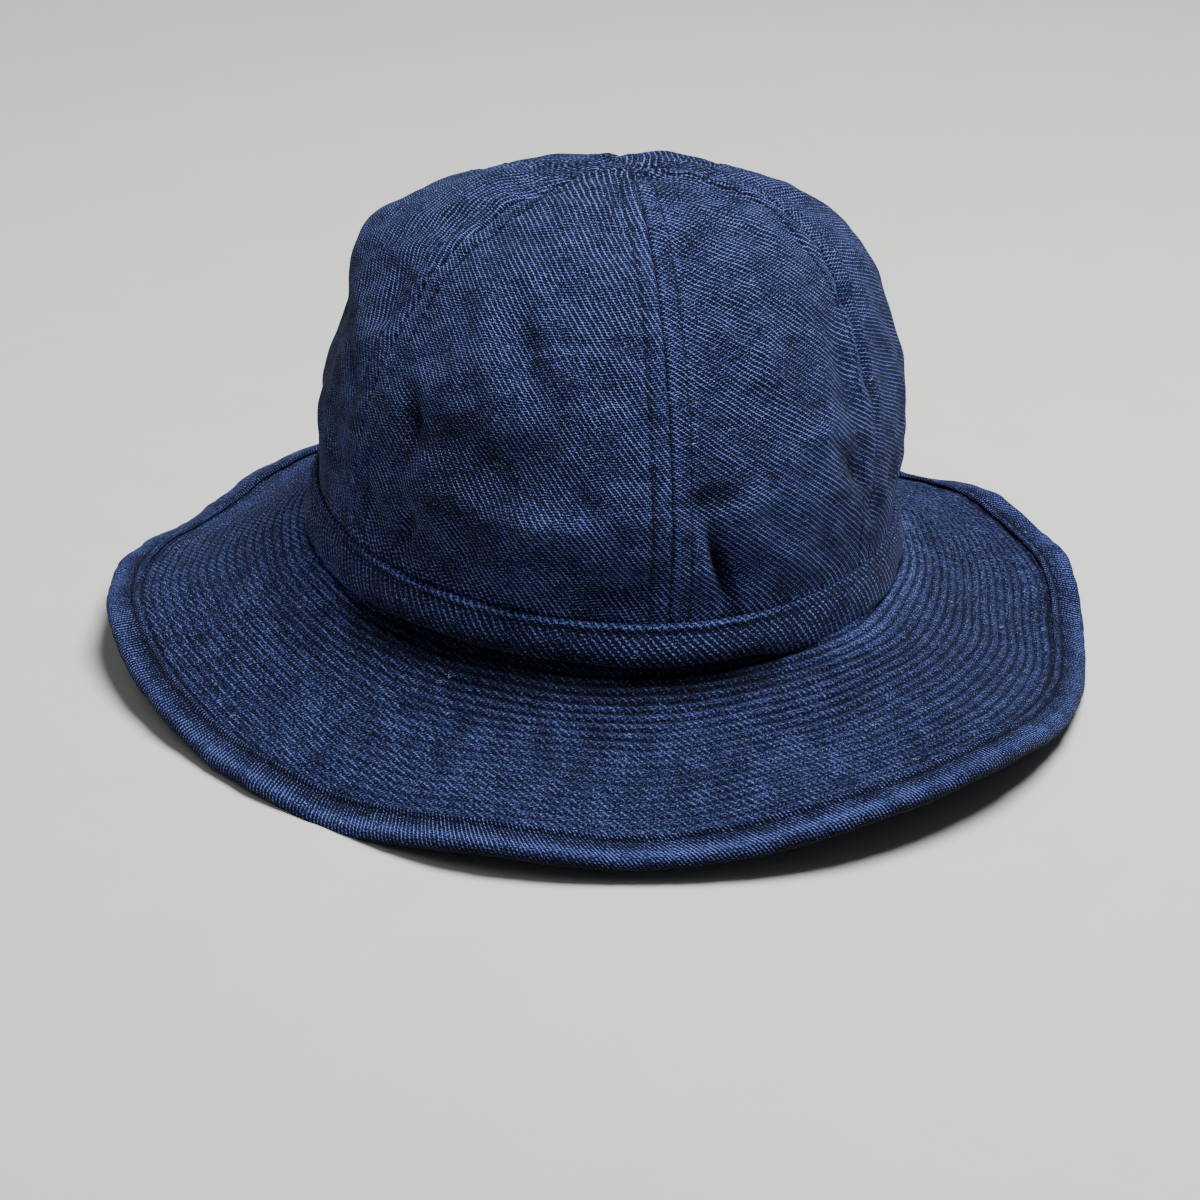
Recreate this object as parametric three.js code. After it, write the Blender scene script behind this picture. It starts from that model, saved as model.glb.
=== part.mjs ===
// Soft denim fatigue hat: six crown gores, a crown band, a full brim and its edge binding.
// Millimetres, +Z up, the front faces -Y and the hat rests on its brim at z = 0.
// Angles round the hat are in degrees: 0 at the front, growing towards +X.
// Heights in the tables and formulas are measured from the top edge of the crown band.

import * as THREE from 'three';

// Head oval: the inside of the crown's foot
const HEAD_GIRTH = 590;
const HEAD_LENGTH_RATIO = 1.18;
const SIDE_LEAN = 1.6; // degrees that the crown's foot drops towards +X
const BAND_ABOVE_FLOOR = 50.4;

// Crown dome
const CROWN_HEIGHT = 94.5;
const CROWN_LEAN_BACK = 10; // degrees at the top
const APEX_SHIFT = { x: 5.5, y: 8 }; // where the six seams meet, off the oval's middle
const CROWN_WALL = 1.4;
const CROWN_OFFSET = 1.5; // outer face of the crown's foot, outside the head oval
const SKIRT_DEPTH = 12; // crown cloth that runs down behind the band
const SLANT = 165; // length of a gore from band to apex
const TIP_CLIMB = 0.992; // where the gores stop short of the apex
const SEAM_GAP = 0.3;
const SHOULDER = { front: 2.3, right: 2.8, back: 2.4, left: 2.85 }; // 2 is round, more is boxier
const FOOT_BULGE = { height: 2, climb: 0.16 }; // cloth that bags out above the band

// Seams: their angle at the band, half way up and near the top
const SEAMS = [
  { name: 'front', foot: 4.3, middle: 2.2, top: -0.8 },
  { name: 'right_front', foot: 58, middle: 61.5, top: 66 },
  { name: 'right_back', foot: 118, middle: 118, top: 118 },
  { name: 'back', foot: 178, middle: 178, top: 178 },
  { name: 'left_back', foot: 238, middle: 238, top: 238 },
  { name: 'left_front', foot: 295, middle: 300, top: 304.5 },
];
const SEAM_CLIMBS = { foot: 0, middle: 0.45, top: 0.8 };

// Gores in the order of the seams they start from, and how far their middles puff out
const GORES = [
  { name: 'crown_gore_front_right', puff: 3.5 },
  { name: 'crown_gore_right', puff: 3 },
  { name: 'crown_gore_back_right', puff: 4 },
  { name: 'crown_gore_back_left', puff: 2.5 },
  { name: 'crown_gore_left', puff: 5 },
  { name: 'crown_gore_front_left', puff: 3.5 },
];

// Folds and dents of the crown: place (angle, climb), half sizes, turn in degrees, depth outwards
const FOLDS = [
  { name: 'left shoulder swell', angle: 258, climb: 0.47, across: 34, along: 17.5, turn: 0, depth: 3 },
  { name: 'left shoulder tuck', angle: 262, climb: 0.29, across: 36, along: 11, turn: 0, depth: -1 },
  { name: 'left side hollow', angle: 264, climb: 0.21, across: 34, along: 23.5, turn: 0, depth: -5.3 },
  { name: 'left fold ridge', angle: 284, climb: 0.31, across: 8, along: 20, turn: -38, depth: 1.8 },
  { name: 'left seam dent', angle: 310, climb: 0.18, across: 8, along: 15, turn: 8, depth: -2 },
  { name: 'front left hollow', angle: 336, climb: 0.25, across: 26, along: 12, turn: -4, depth: -2.5 },
  { name: 'front left swell', angle: 338, climb: 0.11, across: 14, along: 8, turn: 0, depth: 1.5 },
  { name: 'front crease', angle: 13.3, climb: 0.075, across: 5, along: 11, turn: -25, depth: -2.8 },
  { name: 'right seam tuck', angle: 48, climb: 0.28, across: 7, along: 26, turn: 0, depth: -2.2 },
  { name: 'right foot crease', angle: 47, climb: 0.14, across: 9, along: 7, turn: 0, depth: -1.5 },
  { name: 'right side hollow', angle: 92, climb: 0.24, across: 22, along: 16, turn: 20, depth: -1.5 },
  { name: 'back right hollow', angle: 150, climb: 0.22, across: 24, along: 13, turn: -15, depth: -2.5 },
  { name: 'back left hollow', angle: 207, climb: 0.3, across: 24, along: 14, turn: 15, depth: -2.5 },
];

// Crown band: section points as offset from the head oval and height
const BAND_SECTION = [
  { name: 'inner top', offset: 1.9, height: -0.3 },
  { name: 'top fold', offset: 2.7, height: 0.3 },
  { name: 'outer top', offset: 3.6, height: -0.6 },
  { name: 'outer middle', offset: 5.6, height: -6 },
  { name: 'outer foot', offset: 7, height: -11 },
  { name: 'foot fold', offset: 6.2, height: -11.8 },
  { name: 'inner foot', offset: 5.4, height: -11 },
  { name: 'inner middle', offset: 4, height: -6 },
];

// Brim: its root beside the crown's foot, slant length to the middle of the rolled edge
const BRIM_ROOT = { offset: 0.6, height: -13.4 };
const BRIM_SLANT = 68;
const BRIM_WALL = 2.4;
const BRIM_FLARE = 8; // degrees steeper than the mean slope at the root, and flatter at the edge
const BRIM_STRIPS = 7;

// Mean downward slope of the brim, a row each 20 degrees round the hat from the front
const BRIM_SLOPES = [
  { name: 'front', slope: 26.7 },
  { name: 'front, right lift', slope: 18.8 },
  { name: 'right front lift', slope: 19.3 },
  { name: 'right front', slope: 26 },
  { name: 'right rest', slope: 29.5 },
  { name: 'right back lift', slope: 23.7 },
  { name: 'right back', slope: 26 },
  { name: 'back right rest', slope: 31 },
  { name: 'back right', slope: 29.5 },
  { name: 'back', slope: 26 },
  { name: 'back left', slope: 26 },
  { name: 'left back rise', slope: 30.5 },
  { name: 'left back rest', slope: 33.2 },
  { name: 'left lift', slope: 25.3 },
  { name: 'left side lift', slope: 22.8 },
  { name: 'left front', slope: 30.4 },
  { name: 'left front rest', slope: 32.6 },
  { name: 'front, left side', slope: 26.9 },
];

// Edge binding: a folded strip over the brim's edge, pressed flat where the hat rests
const BINDING_WALL = 1;
const BINDING_CLEARANCE = 0.3;
const BINDING_LEG = 7.5;
const BINDING_BEND_STEPS = 4;
const REST_FLAT = 0.4; // depth of the rolled edge that is pressed flat on the floor

// Facets
const RING_STEPS = 72;
const GORE_COLUMNS = 10;
const GORE_ROWS = 16;
const SLOPE_OF_SURFACE = 1e-3; // step for measuring the cloth's normals

const oval = headOval();
const INDIGO = 0x2f4a86;
const LIGHT_INDIGO = 0x36538f;

function radians(degrees) {
  return (degrees * Math.PI) / 180;
}

// Half axes of the ellipse with the head's girth
function headOval() {
  const r = HEAD_LENGTH_RATIO;
  const squash = ((r - 1) / (r + 1)) ** 2;
  const halfWidth = HEAD_GIRTH / (Math.PI * (1 + r) * (1 + squash / 4));
  return { x: halfWidth, y: halfWidth * r };
}

// Point of the head oval at an angle, and its outward direction in plan
function ovalPoint(angle) {
  const sin = Math.sin(radians(angle));
  const cos = Math.cos(radians(angle));
  const outward = new THREE.Vector2(oval.y * sin, -oval.x * cos).normalize();
  return { x: oval.x * sin, y: -oval.y * cos, outward };
}

// A point beside the oval: offset outwards in plan, height from the band's leaning top edge
function besideOval(angle, offset, height) {
  const { x, y, outward } = ovalPoint(angle);
  const px = x + outward.x * offset;
  const py = y + outward.y * offset;
  return new THREE.Vector3(px, py, height - x * Math.tan(radians(SIDE_LEAN)));
}

// Smooth curve through three heights of a seam
function seamAngle(seam, climb) {
  const { foot, middle, top } = SEAM_CLIMBS;
  const footShare = ((climb - middle) * (climb - top)) / ((foot - middle) * (foot - top));
  const middleShare = ((climb - foot) * (climb - top)) / ((middle - foot) * (middle - top));
  const topShare = ((climb - foot) * (climb - middle)) / ((top - foot) * (top - middle));
  return seam.foot * footShare + seam.middle * middleShare + seam.top * topShare;
}

// Angle of a point in a gore: across runs from 0 at its first seam to 1 at the next
function goreAngle(index, across, climb) {
  const next = (index + 1) % SEAMS.length;
  const fullTurn = next === 0 ? 360 : 0;
  const first = seamAngle(SEAMS[index], climb);
  const last = seamAngle(SEAMS[next], climb) + fullTurn;
  return first + (last - first) * across;
}

// Boxiness of the dome's profile at an angle
function shoulderAt(sin, cos) {
  const frontBack = cos > 0 ? SHOULDER.front : SHOULDER.back;
  const side = sin > 0 ? SHOULDER.right : SHOULDER.left;
  return frontBack * cos ** 2 + side * sin ** 2;
}

// The dome before puffs and folds: climb is 0 at the band, 1 at the apex, below 0 behind the band
function domePoint(angle, climb) {
  const sin = Math.sin(radians(angle));
  const cos = Math.cos(radians(angle));
  const power = 2 / shoulderAt(sin, cos);
  const turn = (Math.max(climb, 0) * Math.PI) / 2;
  const spread = Math.cos(turn) ** power;
  const rise = Math.sin(turn) ** power;
  const x = (oval.x + CROWN_OFFSET) * spread * sin + APEX_SHIFT.x * rise ** 2;
  const y = -(oval.y + CROWN_OFFSET) * spread * cos + APEX_SHIFT.y * rise ** 2;
  const z = CROWN_HEIGHT * rise + Math.min(climb, 0) * SLANT;
  const point = new THREE.Vector3(x, y, z);
  point.applyAxisAngle(new THREE.Vector3(-1, 0, 0), radians(CROWN_LEAN_BACK) * rise);
  point.applyAxisAngle(new THREE.Vector3(0, 1, 0), radians(SIDE_LEAN));
  return point;
}

function domeNormal(angle, climb) {
  const step = SLOPE_OF_SURFACE;
  const turn = (step * 180) / Math.PI;
  const around = domePoint(angle + turn, climb).sub(domePoint(angle - turn, climb));
  const above = Math.min(climb + step, 1);
  const upwards = domePoint(angle, above).sub(domePoint(angle, climb - step));
  return around.cross(upwards).normalize();
}

// Depth of all the folds at a place on the crown
function foldDepth(angle, climb) {
  const meanRadius = (oval.x + oval.y) / 2;
  const narrowing = Math.cos((Math.max(climb, 0) * Math.PI) / 2) ** 0.8;
  let depth = 0;
  for (const fold of FOLDS) {
    const turned = ((((angle - fold.angle + 180) % 360) + 360) % 360) - 180;
    const across = radians(turned) * meanRadius * narrowing;
    const along = (climb - fold.climb) * SLANT;
    const sin = Math.sin(radians(fold.turn));
    const cos = Math.cos(radians(fold.turn));
    const u = (across * cos - along * sin) / fold.across;
    const v = (across * sin + along * cos) / fold.along;
    depth += fold.depth * Math.exp(-u * u - v * v);
  }
  return depth;
}

// Outer face of a gore
function gorePoint(index, across, climb) {
  const angle = goreAngle(index, across, climb);
  const height = Math.max(climb, 0);
  const puff = GORES[index].puff * Math.sin(Math.PI * across) * Math.sin(Math.PI * height);
  const bag = (height / FOOT_BULGE.climb) ** 2;
  const bulge = FOOT_BULGE.height * bag * Math.exp(1 - bag);
  const depth = puff + bulge + foldDepth(angle, climb);
  return domePoint(angle, climb).addScaledVector(domeNormal(angle, climb), depth);
}

function goreNormal(index, across, climb) {
  const step = SLOPE_OF_SURFACE;
  const sideways = gorePoint(index, across + step, climb).sub(gorePoint(index, across - step, climb));
  const upwards = gorePoint(index, across, climb + step).sub(gorePoint(index, across, climb - step));
  return sideways.cross(upwards).normalize();
}

// A closed solid from points and triangles
function solidFrom(points, faces) {
  const geometry = new THREE.BufferGeometry();
  geometry.setAttribute('position', new THREE.Float32BufferAttribute(points.flatMap((p) => p.toArray()), 3));
  geometry.setIndex(faces);
  geometry.computeVertexNormals();
  return geometry;
}

// A panel of cloth from a grid of outer points and a grid of inner points, rows upwards
function clothPanel(outer, inner) {
  const rows = outer.length;
  const columns = outer[0].length;
  const innerStart = rows * columns;
  const faces = [];
  for (let row = 0; row < rows - 1; row += 1) {
    for (let column = 0; column < columns - 1; column += 1) {
      const a = row * columns + column;
      const b = a + 1;
      const c = b + columns;
      const d = a + columns;
      faces.push(a, b, c, a, c, d);
      faces.push(innerStart + a, innerStart + c, innerStart + b);
      faces.push(innerStart + a, innerStart + d, innerStart + c);
    }
  }
  const rim = rimOf(rows, columns);
  for (let at = 0; at < rim.length; at += 1) {
    const p = rim[at];
    const q = rim[(at + 1) % rim.length];
    faces.push(p, innerStart + p, innerStart + q, p, innerStart + q, q);
  }
  return solidFrom([...outer.flat(), ...inner.flat()], faces);
}

// Indices round the edge of a grid: along the foot, up, back along the top and down
function rimOf(rows, columns) {
  const rim = [];
  for (let column = 0; column < columns - 1; column += 1) rim.push(column);
  for (let row = 0; row < rows - 1; row += 1) rim.push(row * columns + columns - 1);
  for (let column = columns - 1; column > 0; column -= 1) rim.push((rows - 1) * columns + column);
  for (let row = rows - 1; row > 0; row -= 1) rim.push(row * columns);
  return rim;
}

// A closed ring swept round the hat: each section runs outwards on top and back underneath
function ringOf(sectionAt) {
  const sections = [];
  for (let step = 0; step < RING_STEPS; step += 1) sections.push(sectionAt((step / RING_STEPS) * 360));
  const sides = sections[0].length;
  const faces = [];
  for (let step = 0; step < RING_STEPS; step += 1) {
    const next = (step + 1) % RING_STEPS;
    for (let side = 0; side < sides; side += 1) {
      const after = (side + 1) % sides;
      const a = step * sides + side;
      const b = next * sides + side;
      const c = next * sides + after;
      const d = step * sides + after;
      faces.push(a, d, c, a, c, b);
    }
  }
  return solidFrom(sections.flat(), faces);
}

// Crown gore: from behind the band up to its tip, inset by half the seam gap on both sides
function goreGeometry(index) {
  const outer = [];
  const inner = [];
  const lowest = -SKIRT_DEPTH / SLANT;
  for (let row = 0; row <= GORE_ROWS; row += 1) {
    const climb = row === 0 ? lowest : ((row - 1) / (GORE_ROWS - 1)) * TIP_CLIMB;
    const width = gorePoint(index, 0, climb).distanceTo(gorePoint(index, 1, climb));
    const inset = SEAM_GAP / 2 / width;
    const outerRow = [];
    const innerRow = [];
    for (let column = 0; column <= GORE_COLUMNS; column += 1) {
      const across = inset + (1 - 2 * inset) * (column / GORE_COLUMNS);
      const point = gorePoint(index, across, climb);
      outerRow.push(point);
      innerRow.push(point.clone().addScaledVector(goreNormal(index, across, climb), -CROWN_WALL));
    }
    outer.push(outerRow);
    inner.push(innerRow);
  }
  return clothPanel(outer, inner);
}

function bandGeometry() {
  return ringOf((angle) => BAND_SECTION.map((row) => besideOval(angle, row.offset, row.height)));
}

// Mean slope of the brim at an angle: a smooth closed curve through the rows
function brimSlope(angle) {
  const count = BRIM_SLOPES.length;
  const place = (angle / 360) * count;
  const at = Math.floor(place);
  const t = place - at;
  const [p, q, r, s] = [-1, 0, 1, 2].map((k) => BRIM_SLOPES[(at + k + count) % count].slope);
  const linear = (r - p) / 2;
  const square = p - 2.5 * q + 2 * r - s / 2;
  const cube = (s - p) / 2 + (3 * (q - r)) / 2;
  return q + linear * t + square * t * t + cube * t * t * t;
}

// Out, down and slope of the brim's middle surface at a distance from its root
function brimCourse(slope, distance) {
  const start = radians(slope + BRIM_FLARE);
  const bend = radians(2 * BRIM_FLARE) / BRIM_SLANT;
  const reach = Math.min(distance, BRIM_SLANT);
  const tangent = start - bend * reach;
  const beyond = distance - reach;
  const out = (Math.sin(start) - Math.sin(tangent)) / bend + beyond * Math.cos(tangent);
  const down = (Math.cos(tangent) - Math.cos(start)) / bend + beyond * Math.sin(tangent);
  return { out, down, tangent };
}

// A point of the brim: distance from the root and height above the middle surface.
// Where the edge would sink through the floor, the brim bends up to lie on it.
function brimPoint(angle, distance, above) {
  const slope = brimSlope(angle);
  const edge = besideOval(angle, BRIM_ROOT.offset, BRIM_ROOT.height - brimCourse(slope, BRIM_SLANT).down);
  const lowestEdge = -BAND_ABOVE_FLOOR + rolledRadius() - REST_FLAT;
  const lift = Math.max(0, lowestEdge - edge.z) * Math.min(distance / BRIM_SLANT, 1) ** 2;
  const { out, down, tangent } = brimCourse(slope, distance);
  const offset = BRIM_ROOT.offset + out + above * Math.sin(tangent);
  const height = BRIM_ROOT.height - down + above * Math.cos(tangent) + lift;
  const point = besideOval(angle, offset, height);
  point.z = Math.max(point.z, -BAND_ABOVE_FLOOR);
  return point;
}

function rolledRadius() {
  return BRIM_WALL / 2 + BINDING_CLEARANCE + BINDING_WALL;
}

function brimGeometry() {
  const top = [];
  for (let strip = 0; strip <= BRIM_STRIPS; strip += 1) {
    top.push({ distance: (strip / BRIM_STRIPS) * BRIM_SLANT, above: BRIM_WALL / 2 });
  }
  const section = [...top, ...top.toReversed().map((row) => ({ ...row, above: -row.above }))];
  return ringOf((angle) => section.map((row) => brimPoint(angle, row.distance, row.above)));
}

// Half round of the folded strip about the middle of the brim's edge, from top to underside
function bindingBend(radius) {
  const bend = [];
  for (let step = 0; step <= BINDING_BEND_STEPS; step += 1) {
    const turn = (step / BINDING_BEND_STEPS) * Math.PI;
    bend.push({ distance: BRIM_SLANT + radius * Math.sin(turn), above: radius * Math.cos(turn) });
  }
  return bend;
}

function bindingGeometry() {
  const outerRadius = rolledRadius();
  const innerRadius = outerRadius - BINDING_WALL;
  const legEnd = BRIM_SLANT - BINDING_LEG;
  const section = [
    { distance: legEnd, above: outerRadius },
    ...bindingBend(outerRadius),
    { distance: legEnd, above: -outerRadius },
    { distance: legEnd, above: -innerRadius },
    ...bindingBend(innerRadius).toReversed(),
    { distance: legEnd, above: innerRadius },
  ];
  return ringOf((angle) => section.map((row) => brimPoint(angle, row.distance, row.above)));
}

function addPiece(hat, name, geometry, color) {
  const material = new THREE.MeshStandardMaterial({ color, roughness: 0.95, metalness: 0 });
  const piece = new THREE.Mesh(geometry, material);
  piece.name = name;
  hat.add(piece);
}

// The hat stands on the floor, centred over the origin
function standOnFloor(hat) {
  const box = new THREE.Box3().setFromObject(hat);
  const middle = box.getCenter(new THREE.Vector3());
  hat.position.set(-middle.x, -middle.y, -box.min.z);
}

const hat = new THREE.Group();
GORES.forEach((gore, index) => addPiece(hat, gore.name, goreGeometry(index), INDIGO));
addPiece(hat, 'crown_band', bandGeometry(), INDIGO);
addPiece(hat, 'brim', brimGeometry(), LIGHT_INDIGO);
addPiece(hat, 'brim_binding', bindingGeometry(), LIGHT_INDIGO);
standOnFloor(hat);

export default hat;
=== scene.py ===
# %% [markdown]
# # A soft denim fatigue hat
# The hat is six crown gores, a narrow band, a quilted brim and a folded strip that binds the brim's edge.
# Everything is cloth, so this lesson is about cloth: thin shells, seams, creases, stitches and a twill
# weave. The CAD model is the frame. Its few sizes and formulas are used again here on much finer grids, so
# that the dressed hat lies where the CAD hat lies, and the seams and stitches can be real relief.

# %% Load the frame
import math

import bpy
import numpy as np
from mathutils import Matrix, Vector


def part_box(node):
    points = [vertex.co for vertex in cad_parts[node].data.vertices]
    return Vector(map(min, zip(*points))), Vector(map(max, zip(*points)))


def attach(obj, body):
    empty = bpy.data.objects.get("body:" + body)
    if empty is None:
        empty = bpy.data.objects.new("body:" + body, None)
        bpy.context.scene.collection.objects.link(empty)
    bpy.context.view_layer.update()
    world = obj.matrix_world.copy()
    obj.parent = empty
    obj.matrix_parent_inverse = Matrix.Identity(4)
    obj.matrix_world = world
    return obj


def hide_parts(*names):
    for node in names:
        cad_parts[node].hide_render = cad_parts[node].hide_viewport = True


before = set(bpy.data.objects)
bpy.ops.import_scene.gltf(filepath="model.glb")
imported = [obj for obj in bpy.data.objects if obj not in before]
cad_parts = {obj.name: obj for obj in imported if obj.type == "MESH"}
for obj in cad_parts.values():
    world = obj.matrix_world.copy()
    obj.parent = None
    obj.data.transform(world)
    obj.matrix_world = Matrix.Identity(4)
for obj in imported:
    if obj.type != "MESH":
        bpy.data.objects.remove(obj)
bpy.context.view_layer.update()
MM = 0.001

# %% [markdown]
# ## The head oval
# A hat is cut to a head, so all its sizes start from one oval with the head's girth. The band's box in the
# frame gives the oval's middle. Heights are measured from the band's top edge, which leans to the right.
# Angles round the hat are in degrees, from 0 at the front towards +X.

# %% Head oval and its place in the frame
HEAD_GIRTH = 590.0
HEAD_LENGTH_RATIO = 1.18
SIDE_LEAN = math.radians(1.6)
BAND_ABOVE_FLOOR = 50.4

oval_squash = ((HEAD_LENGTH_RATIO - 1) / (HEAD_LENGTH_RATIO + 1)) ** 2
HALF_WIDTH = HEAD_GIRTH / (math.pi * (1 + HEAD_LENGTH_RATIO) * (1 + oval_squash / 4))
HALF_LENGTH = HALF_WIDTH * HEAD_LENGTH_RATIO

band_low, band_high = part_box("crown_band")
band_middle = (Vector(band_low) + Vector(band_high)) / 2 / MM
HAT_MIDDLE = np.array([band_middle.x, band_middle.y, BAND_ABOVE_FLOOR])
print("head oval in mm:", round(2 * HALF_WIDTH, 1), "by", round(2 * HALF_LENGTH, 1))

# %% Points beside the oval
def stack(x, y, z):
    return np.stack(np.broadcast_arrays(x, y, z), axis=-1)


def oval_outward(angle):
    """Outward direction of the head oval in plan."""
    turn = np.radians(angle)
    x = HALF_LENGTH * np.sin(turn)
    y = -HALF_WIDTH * np.cos(turn)
    size = np.hypot(x, y)
    return x / size, y / size


def beside_oval(angle, offset, height):
    """Points at an offset outside the oval and a height above the band's leaning top edge."""
    turn = np.radians(angle)
    out_x, out_y = oval_outward(angle)
    x = HALF_WIDTH * np.sin(turn)
    y = -HALF_LENGTH * np.cos(turn)
    return stack(x + out_x * offset, y + out_y * offset, height - x * math.tan(SIDE_LEAN))


def unit(vectors):
    return vectors / np.linalg.norm(vectors, axis=-1, keepdims=True)


def run_along(line):
    """Length along a line of points, from its first point to each of them."""
    steps = np.linalg.norm(np.diff(line, axis=0), axis=1)
    return np.concatenate([[0], np.cumsum(steps)])


def round_angles(start, steps, closed=False):
    """Even angles for a full turn, with the first one again at the end where they are closed."""
    return start + np.arange(steps + closed) * 360 / steps


ROUND_ANGLES = np.linspace(0, 360, 3601)
oval_line = beside_oval(ROUND_ANGLES, 0.0, 0.0)
OVAL_ARC = run_along(oval_line)
print("girth measured on the oval in mm:", round(OVAL_ARC[-1], 1))

# %% [markdown]
# ## Soft irregularity
# Worn cloth is never smooth. A sum of a dozen waves in random directions gives a gentle swell with no grid
# in it, and a seed keeps it the same on every run. A Noise texture on a Displace modifier would do it too,
# but a formula can be used again for the stitches, which have to lie on the same surface.

# %% A seeded swell
def swell(points, size, seed, waves=14):
    """Soft random height of about one unit, with hollows about size mm apart."""
    rng = np.random.default_rng(seed)
    directions = unit(rng.normal(size=(waves, 3)))
    lengths = size * rng.uniform(0.75, 1.35, waves)
    starts = rng.uniform(0, 2 * math.pi, waves)
    total = 0
    for direction, length, start in zip(directions, lengths, starts):
        total = total + np.cos(points @ direction * (2 * math.pi / length) + start)
    return total / math.sqrt(waves / 2)


def swells(points, rows):
    """Several swells added up: each row is a height and a size in mm, and a seed."""
    return sum(height * swell(points, size, seed) for height, size, seed in rows)


def turn_from(angle, middle):
    """Signed turn in degrees from a middle angle, between -180 and 180."""
    return (np.asarray(angle) - middle + 180) % 360 - 180


def fade(value, start, end):
    """0 before start and 1 after end, with a smooth step between them."""
    t = np.clip((value - start) / (end - start), 0, 1)
    return t * t * (3 - 2 * t)


def near(value, middle, width):
    """A soft bell: 1 at the middle value, and almost 0 at twice the width from it."""
    return np.exp(-(((value - middle) / width) ** 2))


def near_angle(angle, middle, width):
    return near(turn_from(angle, middle), 0, width)


print("swell at the oval, lowest and highest:", np.round(np.percentile(swell(oval_line, 25, 1), [0, 100]), 2))

# %% [markdown]
# ## Cloth as closed shells
# Each piece is a thin solid: a closed loop of points, the outer face out and the inner face back, repeated
# row by row. A gore is a stack of such loops with flat ends. Band, brim and binding are loops that go all
# the way round. One helper makes both, and gives each face corner its place on the flat cloth in
# millimetres as a UV map, so that the weave runs along the cut and not along the room.

# %% Mesh helpers
def new_object(name, data):
    """Puts a mesh, light or camera into the scene."""
    thing = bpy.data.objects.new(name, data)
    bpy.context.scene.collection.objects.link(thing)
    return thing


def piece_from(name, points, faces):
    """A smooth mesh from points in mm beside the hat's middle and lists of corners."""
    mesh = bpy.data.meshes.new(name)
    mesh.from_pydata(((points + HAT_MIDDLE) * MM).tolist(), [], faces)
    mesh.polygons.foreach_set("use_smooth", np.full(len(mesh.polygons), True))
    mesh.update()
    return new_object(name, mesh)


def flat_place(x, y):
    """Places on the flat cloth in mm."""
    return np.stack(np.broadcast_arrays(x, y), axis=-1)


def cloth_piece(name, loops, cloth, wear_and_painted_light, goes_round, fibre=None):
    """A closed cloth shell from loops of points (rows, loop, 3), with flat places, wear and painted light and
    shade, and fibre places.
    """
    rows, sides = loops.shape[:2]
    last_row = rows if goes_round else rows - 1
    row, side = np.meshgrid(np.arange(last_row), np.arange(sides), indexing="ij")
    corner_row = np.stack([row, row, row + 1, row + 1], axis=-1).reshape(-1, 4)
    corner_side = np.stack([side, side + 1, side + 1, side], axis=-1).reshape(-1, 4)
    if not goes_round:
        half = np.arange(sides // 2 - 1)
        end = np.stack([half, half + 1, sides - 2 - half, sides - 1 - half], axis=-1)
        corner_row = np.concatenate([corner_row, np.zeros_like(end), np.full_like(end, rows - 1)])
        corner_side = np.concatenate([corner_side, end[:, ::-1], end])
    faces = (corner_row % rows) * sides + corner_side % sides
    corners = loops.reshape(-1, 3)[faces]
    volume = np.einsum("ij,ij->i", corners[:, 0], np.cross(corners[:, 1], corners[:, 2])).sum()
    volume += np.einsum("ij,ij->i", corners[:, 0], np.cross(corners[:, 2], corners[:, 3])).sum()
    if volume < 0:
        faces, corner_row, corner_side = faces[:, ::-1], corner_row[:, ::-1], corner_side[:, ::-1]
    piece = piece_from(name, loops.reshape(-1, 3), faces.tolist())
    for label, places in (("cloth", cloth), ("fibre", cloth if fibre is None else fibre)):
        uv = piece.data.uv_layers.new(name=label)
        uv.data.foreach_set("uv", places[corner_row, corner_side].reshape(-1))
    # One number at each point holds the cloth's wear together with its painted light and shade.
    wear_and_light_layer = piece.data.attributes.new("wear_and_painted_light", "FLOAT", "POINT")
    wear_and_light_layer.data.foreach_set("value", np.broadcast_to(wear_and_painted_light, loops.shape[:2]).reshape(-1).astype(np.float32))
    print(name, "has", 2 * len(faces), "triangles and", round(abs(volume) / 6000, 1), "cubic cm of cloth")
    return piece


# %% [markdown]
# ## The crown's form
# The crown is a dome that is boxier at the sides than at the front, leans back and carries six puffed
# gores. The large folds are the CAD's own rows. Each is a soft bump or dent with a place, two half sizes, a
# turn and a depth, so the same formula can add the many smaller creases that only show up close. It also
# places patches of painted light and shade, darker on the top and the left side and paler at the right
# foot. Sculpting would be quicker, but a row can be moved later.

# %% Crown sizes and seams
CROWN_HEIGHT = 94.5
CROWN_LEAN_BACK = math.radians(10)
APEX_SHIFT = (5.5, 8.0)
CROWN_WALL = 1.4
CROWN_OFFSET = 1.5
SKIRT_DEPTH = 12.0
SLANT = 165.0
TIP_CLIMB = 0.9994
SHOULDER = {"front": 2.3, "right": 2.8, "back": 2.4, "left": 2.85}
FOOT_BULGE = {"height": 2.0, "climb": 0.16}


def table(columns, rows):
    """Rows of a table as dictionaries with the columns' names."""
    return [dict(zip(columns, row)) for row in rows]


# A seam's angle at the band, half way up and near the top, its rise and groove in mm, its clearness low down
SEAMS = table(
    ("name", "foot", "middle", "top", "proud", "groove", "low"),
    [
        ("front", 4.3, 2.2, -0.8, 0.7, 0.8, 1.0),
        ("right_front", 54.0, 57.0, 65.0, 0.9, 0.4, 0.3),
        ("right_back", 118.0, 118.0, 118.0, 0.6, 0.6, 0.7),
        ("back", 178.0, 178.0, 178.0, 0.6, 0.6, 0.9),
        ("left_back", 238.0, 238.0, 238.0, 0.6, 0.6, 0.7),
        ("left_front", 295.0, 300.0, 304.5, 0.7, 0.6, 0.4),
    ],
)
SEAM_CLIMBS = {"foot": 0.0, "middle": 0.45, "top": 0.8}

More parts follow.
